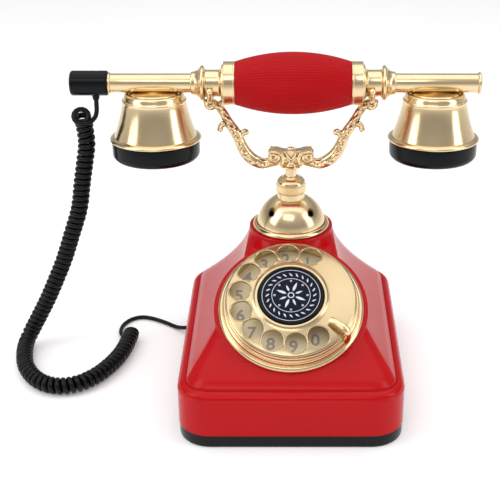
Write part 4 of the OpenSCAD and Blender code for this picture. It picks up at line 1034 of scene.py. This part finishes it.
def make_badge_disc():
    low, high = BADGE_SEAT + 1.5, BADGE_SEAT + 2.6
    disc = turned([(0, low), (BADGE_R - 2, low), (BADGE_R - 2, high), (0, high)], 96, 0.1, False)
    piece("blue_enamel_disc", disc, BLUE_ENAMEL, "dial", ["badge_disc"], AT_DIAL)


def make_badge_design():
    """Silver design: a wreath of leaves between two rings, and eight small rings round a rosette."""
    low, high = BADGE_SEAT + 2.6 - 0.05, BADGE_SEAT + 2.6 + 0.07
    parts = [flat_ring(19.4, 19.0, low, high), flat_ring(12.9, 12.5, low, high),
             flat_ring(2.2, 1.5, low, high, 48)]
    for k in range(LEAVES):
        turn = Matrix.Rotation(math.radians(360 / LEAVES * k), 4, "Z")
        parts.append(moved(petal(3.4, 0.5, 42, 0, low, high), turn @ Matrix.Translation((14.5, -1, 0))))
    for k in range(PETALS):
        angle = 360 / PETALS * k
        length, width = (7.2, 0.95) if k % 2 else (5.2, 0.7)
        parts.append(petal(length, width, angle + 22.5, 3.2, low, high))
        c, s = math.cos(math.radians(angle)), math.sin(math.radians(angle))
        parts.append(moved(flat_ring(0.75, 0.3, low, high, 20), Matrix.Translation((10.9 * c, 10.9 * s, 0))))
    piece("silver_badge_design", merged(parts), SILVER_FOIL, "dial", (), AT_DIAL)


# ---- handset ----

FERRULE_X = GRIP_LEN / 2
COLLAR_X = FERRULE_X + FERRULE_LEN
WAIST_HALF = PRONG_T / 2 + HANDSET_X + 0.4
BEAD_X = FORK_X + WAIST_HALF + 2.6
FLARE_END = BEAD_X + 7.7
SOCKET_X = BEAD_X + 2
CAP_START = LEFT_REACH + 1.7
FLUTES, FLUTE_STEPS = 66, 8


def both_ends(right, left):
    """Pieces of the right end and of the left, as one mesh in the handset's frame."""
    return merged([moved(right, ALONG_X), moved(left, FLIP_X @ ALONG_X)])


def make_grip():
    """Barrel whose outline is an arc, with fine flutes along it."""
    half = GRIP_LEN / 2
    rise = GRIP_MID_R - GRIP_END_R
    arc = (half * half + rise * rise) / (2 * rise)
    steps = 28
    xs = [-half + GRIP_LEN * k / steps for k in range(steps + 1)]
    outer = [(GRIP_MID_R - arc + math.sqrt(arc * arc - x * x), x) for x in xs]
    grip = turned(outer + [(5.5, half), (5.5, -half)], FLUTES * FLUTE_STEPS, 0.2)
    fluted(grip, FLUTES, FLUTE_STEPS, 0.013, GRIP_END_R - 0.1)
    piece("red_fluted_grip", grip, GRIP_RESIN, "handset", ["grip"], AT_HANDSET @ ALONG_X, sharp=60)


def ferrule():
    """Band between the grip and the collar, with a lip at each edge."""
    r = GRIP_END_R + 0.3
    x0, x1 = FERRULE_X, COLLAR_X
    return turned([(3, x0), (r, x0), (r, x0 + 0.9), (r - 0.2, x0 + 1.1), (r - 0.2, x1 - 0.6), (r, x1 - 0.4),
                   (r - 0.1, x1), (3, x1)], 128, 0.2)


def collar():
    """Turned collar: the waist that the fork holds, then a bead and a flare down to the tube."""
    w0, w1 = FORK_X - WAIST_HALF, FORK_X + WAIST_HALF
    waist = [(3, COLLAR_X), (GRIP_END_R - 1.6, COLLAR_X), (GRIP_END_R - 1.9, COLLAR_X + 0.6),
             (WAIST_R + 3.4, w0 - 2.1), (WAIST_R + 1.6, w0 - 1.5), (WAIST_R + 0.4, w0 - 0.7), (WAIST_R, w0),
             (WAIST_R, w1), (WAIST_R + 0.5, w1 + 0.8), (WAIST_R + 1.8, w1 + 1.2)]
    bead = [(BEAD_R - 0.5, BEAD_X - 1.1), (BEAD_R, BEAD_X), (BEAD_R - 0.5, BEAD_X + 1.0),
            (WAIST_R + 1.2, BEAD_X + 2), (WAIST_R, BEAD_X + 3.2)]
    flare = [(TUBE_R + 1.5, BEAD_X + 4.8), (TUBE_R + 1.2, FLARE_END - 1), (TUBE_R + 0.8, FLARE_END),
             (TUBE_R, FLARE_END), (TUBE_R, SOCKET_X), (3, SOCKET_X)]
    return turned(waist + bead + flare, 128, 0.45)


def pipe(reach):
    """Tube from its socket in the collar to the given reach."""
    return turned([(TUBE_R - 1.3, SOCKET_X), (TUBE_R, SOCKET_X), (TUBE_R, reach), (TUBE_R - 1.3, reach)],
                  96, 0.15)


def end_knob():
    """Closed button on the right tube's end."""
    x, r = RIGHT_REACH, TUBE_R
    return turned([(0, x - 6), (r - 1.3, x - 6), (r - 1.3, x), (r + 0.3, x), (r + 0.8, x + 0.6),
                   (r + 0.8, x + 1.7), (r + 0.2, x + 2.2), (r - 2, x + 2.3), (0, x + 2.1)], 96, 0.25, False)


def end_ring():
    """Flange between the left tube and the black cap."""
    x, r = LEFT_REACH, TUBE_R
    return turned([(4, x), (r + 0.3, x), (r + 0.7, x + 0.4), (r + 0.7, x + 1.4), (r + 0.4, x + 1.7),
                   (4, x + 1.7)], 96, 0.15)


def make_turned_parts():
    """Ferrules, collars, tubes and end flanges, each of both ends."""
    ferrules = both_ends(ferrule(), ferrule())
    piece("gold_ferrules", ferrules, GOLD, "handset", ["ferrules"], AT_HANDSET, sharp=50)
    collars = both_ends(collar(), collar())
    piece("gold_turned_collars", collars, GOLD, "handset", ["collars"], AT_HANDSET, sharp=60)
    pipes = both_ends(pipe(RIGHT_REACH), pipe(LEFT_REACH))
    piece("gold_tubes", pipes, GOLD, "handset", ["tubes"], AT_HANDSET, sharp=50)
    flanges = both_ends(end_knob(), end_ring())
    piece("gold_end_flanges", flanges, GOLD, "handset", ["end_flanges"], AT_HANDSET, sharp=50)


def make_cord_cap():
    """Black cap on the left tube, with the short nipple that the cord leaves by."""
    r = CORD_CAP_R
    x0, x1 = CAP_START, CAP_START + CORD_CAP_LEN
    cap = turned([(0, LEFT_REACH - 8), (4, LEFT_REACH - 8), (4, x0), (r - 0.7, x0), (r, x0 + 0.8),
                  (r, x0 + 8), (r, x0 + 17), (r, x1 - 1.4), (r - 0.5, x1 - 0.5), (r - 1.6, x1), (0, x1)],
                 96, 0.5, False)
    lead = LEAD_D / 2
    nipple = turned([(0, -NIPPLE_LEN), (lead + 0.5, -NIPPLE_LEN), (lead + 1.1, 0), (lead + 1.2, 2), (0, 2)],
                    32, 0.3, False)
    both = merged([moved(cap, FLIP_X @ ALONG_X), moved(nipple, Matrix.Translation((CORD_EXIT_X, 0, -r)))])
    piece("black_cord_cap", both, CAP_PHENOLIC, "handset", ["cord_cap"], AT_HANDSET, sharp=50)


CUP_TOP, STEP_Z, SHOULDER_R, STEP_R, CUP_WALL, RIM_T = -7, -11.9, 20, 22, 1.3, 2.4
CUP_END = 1.2 - CUP_DEPTH
CAP_TOP = CUP_END - RIM_T
CAP_R = RIM_R - 1.5
CAP_BOTTOM = CAP_TOP - CAP_DEPTH
CUPS = {"ear": -EAR_X, "mouth": MOUTH_X}


def cup_mesh():
    """Bell-shaped cup: a flat shoulder, a step and a thin flared skirt."""
    r, step = SHOULDER_R, STEP_R
    flare = [(mix(step - 0.3, RIM_R - 3, (k / 16) ** 1.3), mix(STEP_Z - 0.8, CUP_END, k / 16))
             for k in range(17)]
    inside = [(x - CUP_WALL, z) for x, z in flare[::-1]]
    top = [(0, CUP_TOP), (r - 3.2, CUP_TOP), (r - 2.2, CUP_TOP + 0.4), (r - 0.8, CUP_TOP + 0.3),
           (r, CUP_TOP - 0.5), (r + 0.5, CUP_TOP - 2), (step - 1, STEP_Z + 1.5), (step - 0.2, STEP_Z + 1.1),
           (step, STEP_Z + 0.4), (step - 0.2, STEP_Z - 0.2)]
    under = [(step - 2.2, STEP_Z), (r - 1.2, CUP_TOP - 2), (0, CUP_TOP - 2)]
    return turned(top + flare + inside + under, 160, 0.35, False)


def cap_mesh():
    """Black cap with a rounded edge, a shallow dish and rings of sound holes."""
    angles = [math.radians(a) for a in range(0, 91, 9)]
    edge = [(CAP_R - 5 + 5 * math.cos(a), CAP_BOTTOM + 5 - 5 * math.sin(a)) for a in angles]
    hollow_r = CAP_R - 4.3
    profile = [(0, CAP_BOTTOM + 3), (hollow_r, CAP_BOTTOM + 3), (hollow_r, CAP_TOP), (CAP_R - 0.6, CAP_TOP),
               (CAP_R, CAP_TOP - 0.6)]
    solid = turned(profile + edge + [(CAP_R - 9, CAP_BOTTOM + 0.2), (0, CAP_BOTTOM + 0.6)], 128, 0.2, False)
    centres = [(0, 0)]
    for n in (1, 2):
        for k in range(6 * n):
            a = math.radians(60 * k / n)
            centres.append((6 * n * math.cos(a), 6 * n * math.sin(a)))
    holes = []
    for x, y in centres:
        holes.append(moved(bar(1.1, CAP_BOTTOM - 1, CAP_BOTTOM + 5, 16), Matrix.Translation((x, y, 0))))
    return boolean(solid, [merged(holes)])


def rim_mesh():
    """Rolled rim that holds the cap in the cup."""
    r = RIM_R
    return turned([(r - 5.4, CUP_END), (r - 3.4, CUP_END + 0.9), (r - 1.6, CUP_END + 0.4),
                   (r - 0.5, CUP_END - 0.2), (r, CUP_END - 1.2), (r - 0.4, CUP_END - 2), (r - 1.3, CAP_TOP),
                   (r - 5.4, CAP_TOP)], 160, 0.4)


def saddle_mesh():
    """Disc between the cup and the tube, hollowed to the tube's round."""
    disc = turned([(0, CUP_TOP), (16.4, CUP_TOP), (16.2, CUP_TOP + 0.5), (15, CUP_TOP + 1),
                   (8, CUP_TOP + 1.2), (0, CUP_TOP + 2.4)], 96, 0.3, False)
    return boolean(disc, [moved(bar(TUBE_R - 0.02, -20, 20, 96), ALONG_X)])


def at_cups(make):
    """One of what make returns at each cup, as one mesh."""
    return merged([moved(make(), Matrix.Translation((x, 0, 0))) for x in CUPS.values()])


def make_cups():
    for name, x in CUPS.items():
        place = AT_HANDSET @ Matrix.Translation((x, 0, 0))
        piece(f"gold_{name}_cup", cup_mesh(), GOLD, "handset", [f"{name}_cup"], place, sharp=50)
        piece(f"black_{name}_cap", cap_mesh(), CAP_PHENOLIC, "handset", [f"{name}_cap"], place, sharp=40)
    piece("rolled_gold_rims", at_cups(rim_mesh), GOLD, "handset", ["cup_rims"], AT_HANDSET, sharp=60)
    piece("cup_saddle_discs", at_cups(saddle_mesh), GOLD, "handset", ["cup_saddles"], AT_HANDSET)


# ---- light and floor ----

def make_stage():
    """White opal acrylic of a product table, matt and with no grain, lit softly from below."""
    bm = bmesh.new()
    bmesh.ops.create_grid(bm, x_segments=1, y_segments=1, size=4)
    floor = plain_object("studio_floor", bm)
    acrylic = new_material("white_opal_acrylic")
    shader = add_node(acrylic, "BsdfPrincipled", {"Base Color": linear("fbfbfb"), "Roughness": 0.9,
                                                  "Emission Color": linear("ffffff"),
                                                  "Emission Strength": 0.16})
    add_node(acrylic, "OutputMaterial", {"Surface": shader.outputs[0]})
    floor.data.materials.append(acrylic)


def area_light(name, place, target, size, power):
    """Softbox of a width and height in metres that faces the target."""
    data = bpy.data.lights.new(name, "AREA")
    data.shape = "RECTANGLE"
    data.size, data.size_y = size
    data.energy = power
    light = bpy.data.objects.new(name, data)
    bpy.context.collection.objects.link(light)
    light.location = place
    light.rotation_euler = (Vector(target) - Vector(place)).to_track_quat("-Z", "Y").to_euler()


def make_light():
    """Grey studio world, darkest a little above the horizon, and four softboxes."""
    world = bpy.data.worlds.new("studio")
    bpy.context.scene.world = world
    world.use_nodes = True
    tree = world.node_tree
    background = tree.nodes["Background"]
    direction = tree.nodes.new("ShaderNodeTexCoord")
    split = tree.nodes.new("ShaderNodeSeparateXYZ")
    tree.links.new(direction.outputs["Generated"], split.inputs[0])
    ramp = tree.nodes.new("ShaderNodeValToRGB")
    tree.links.new(split.outputs["Z"], ramp.inputs[0])
    stops = [(0.0, 0.95), (0.08, 0.8), (0.25, 0.42), (0.5, 0.62), (1.0, 0.95)]
    for _ in stops[2:]:
        ramp.color_ramp.elements.new(0.5)
    for element, (at, grey) in zip(ramp.color_ramp.elements, stops):
        element.position = at
        element.color = (grey, grey, grey, 1)
    tree.links.new(ramp.outputs[0], background.inputs["Color"])
    background.inputs["Strength"].default_value = 0.8
    middle = (0, 0, 0.1)
    area_light("left_softbox", (-0.9, -0.35, 0.75), middle, (0.5, 0.9), 3.4)
    area_light("right_softbox", (0.95, -0.3, 0.6), middle, (0.4, 0.9), 2.8)
    area_light("top_softbox", (0, 0.2, 1.3), middle, (1.9, 1.3), 7)
    area_light("front_softbox", (-0.2, -0.95, 1.25), middle, (0.9, 0.5), 2.6)


# ---- materials of the CAD nodes that stay ----

KEPT = {
    STEEL: ["pan_screws", "ballast_plate", "guide_locknut", "hook_bracket", "hook_spring", "ringer_frame",
            "clapper", "mainspring", "dial_shaft", "governor", "tie_rod"],
    BRASS: ["neck_guide", "hook_lever", "gong_left", "gong_right", "main_gear", "wheel_nut", "idler_gear"],
    ALUMINIUM: ["dial_front_plate", "dial_back_plate", "receiver_capsule", "mic_capsule"],
    PAPER_PHENOLIC: ["hook_contacts", "pulse_contacts", "pulse_cam"],
    COPPER_COIL: ["ringer_coil"], BOARD_LACQUER: ["circuit_board"], IVORY_ABS: ["line_jack"]}


def finish_kept_nodes():
    """Gives its material to each CAD node that no piece replaces."""
    for material, names in KEPT.items():
        for name in names:
            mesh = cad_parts[name].data
            mesh.materials.clear()
            mesh.materials.append(material)


make_stage()
make_light()
make_housing()
make_pan()
make_feet()
make_grommet()
make_neck_ring()
make_dome()
make_nut()
make_cradle()
make_plunger()
make_bezel()
make_number_plate()
make_wheel()
make_stop()
make_badge_rim()
make_badge_disc()
make_badge_design()
make_grip()
make_turned_parts()
make_cord_cap()
make_cups()
finish_kept_nodes()
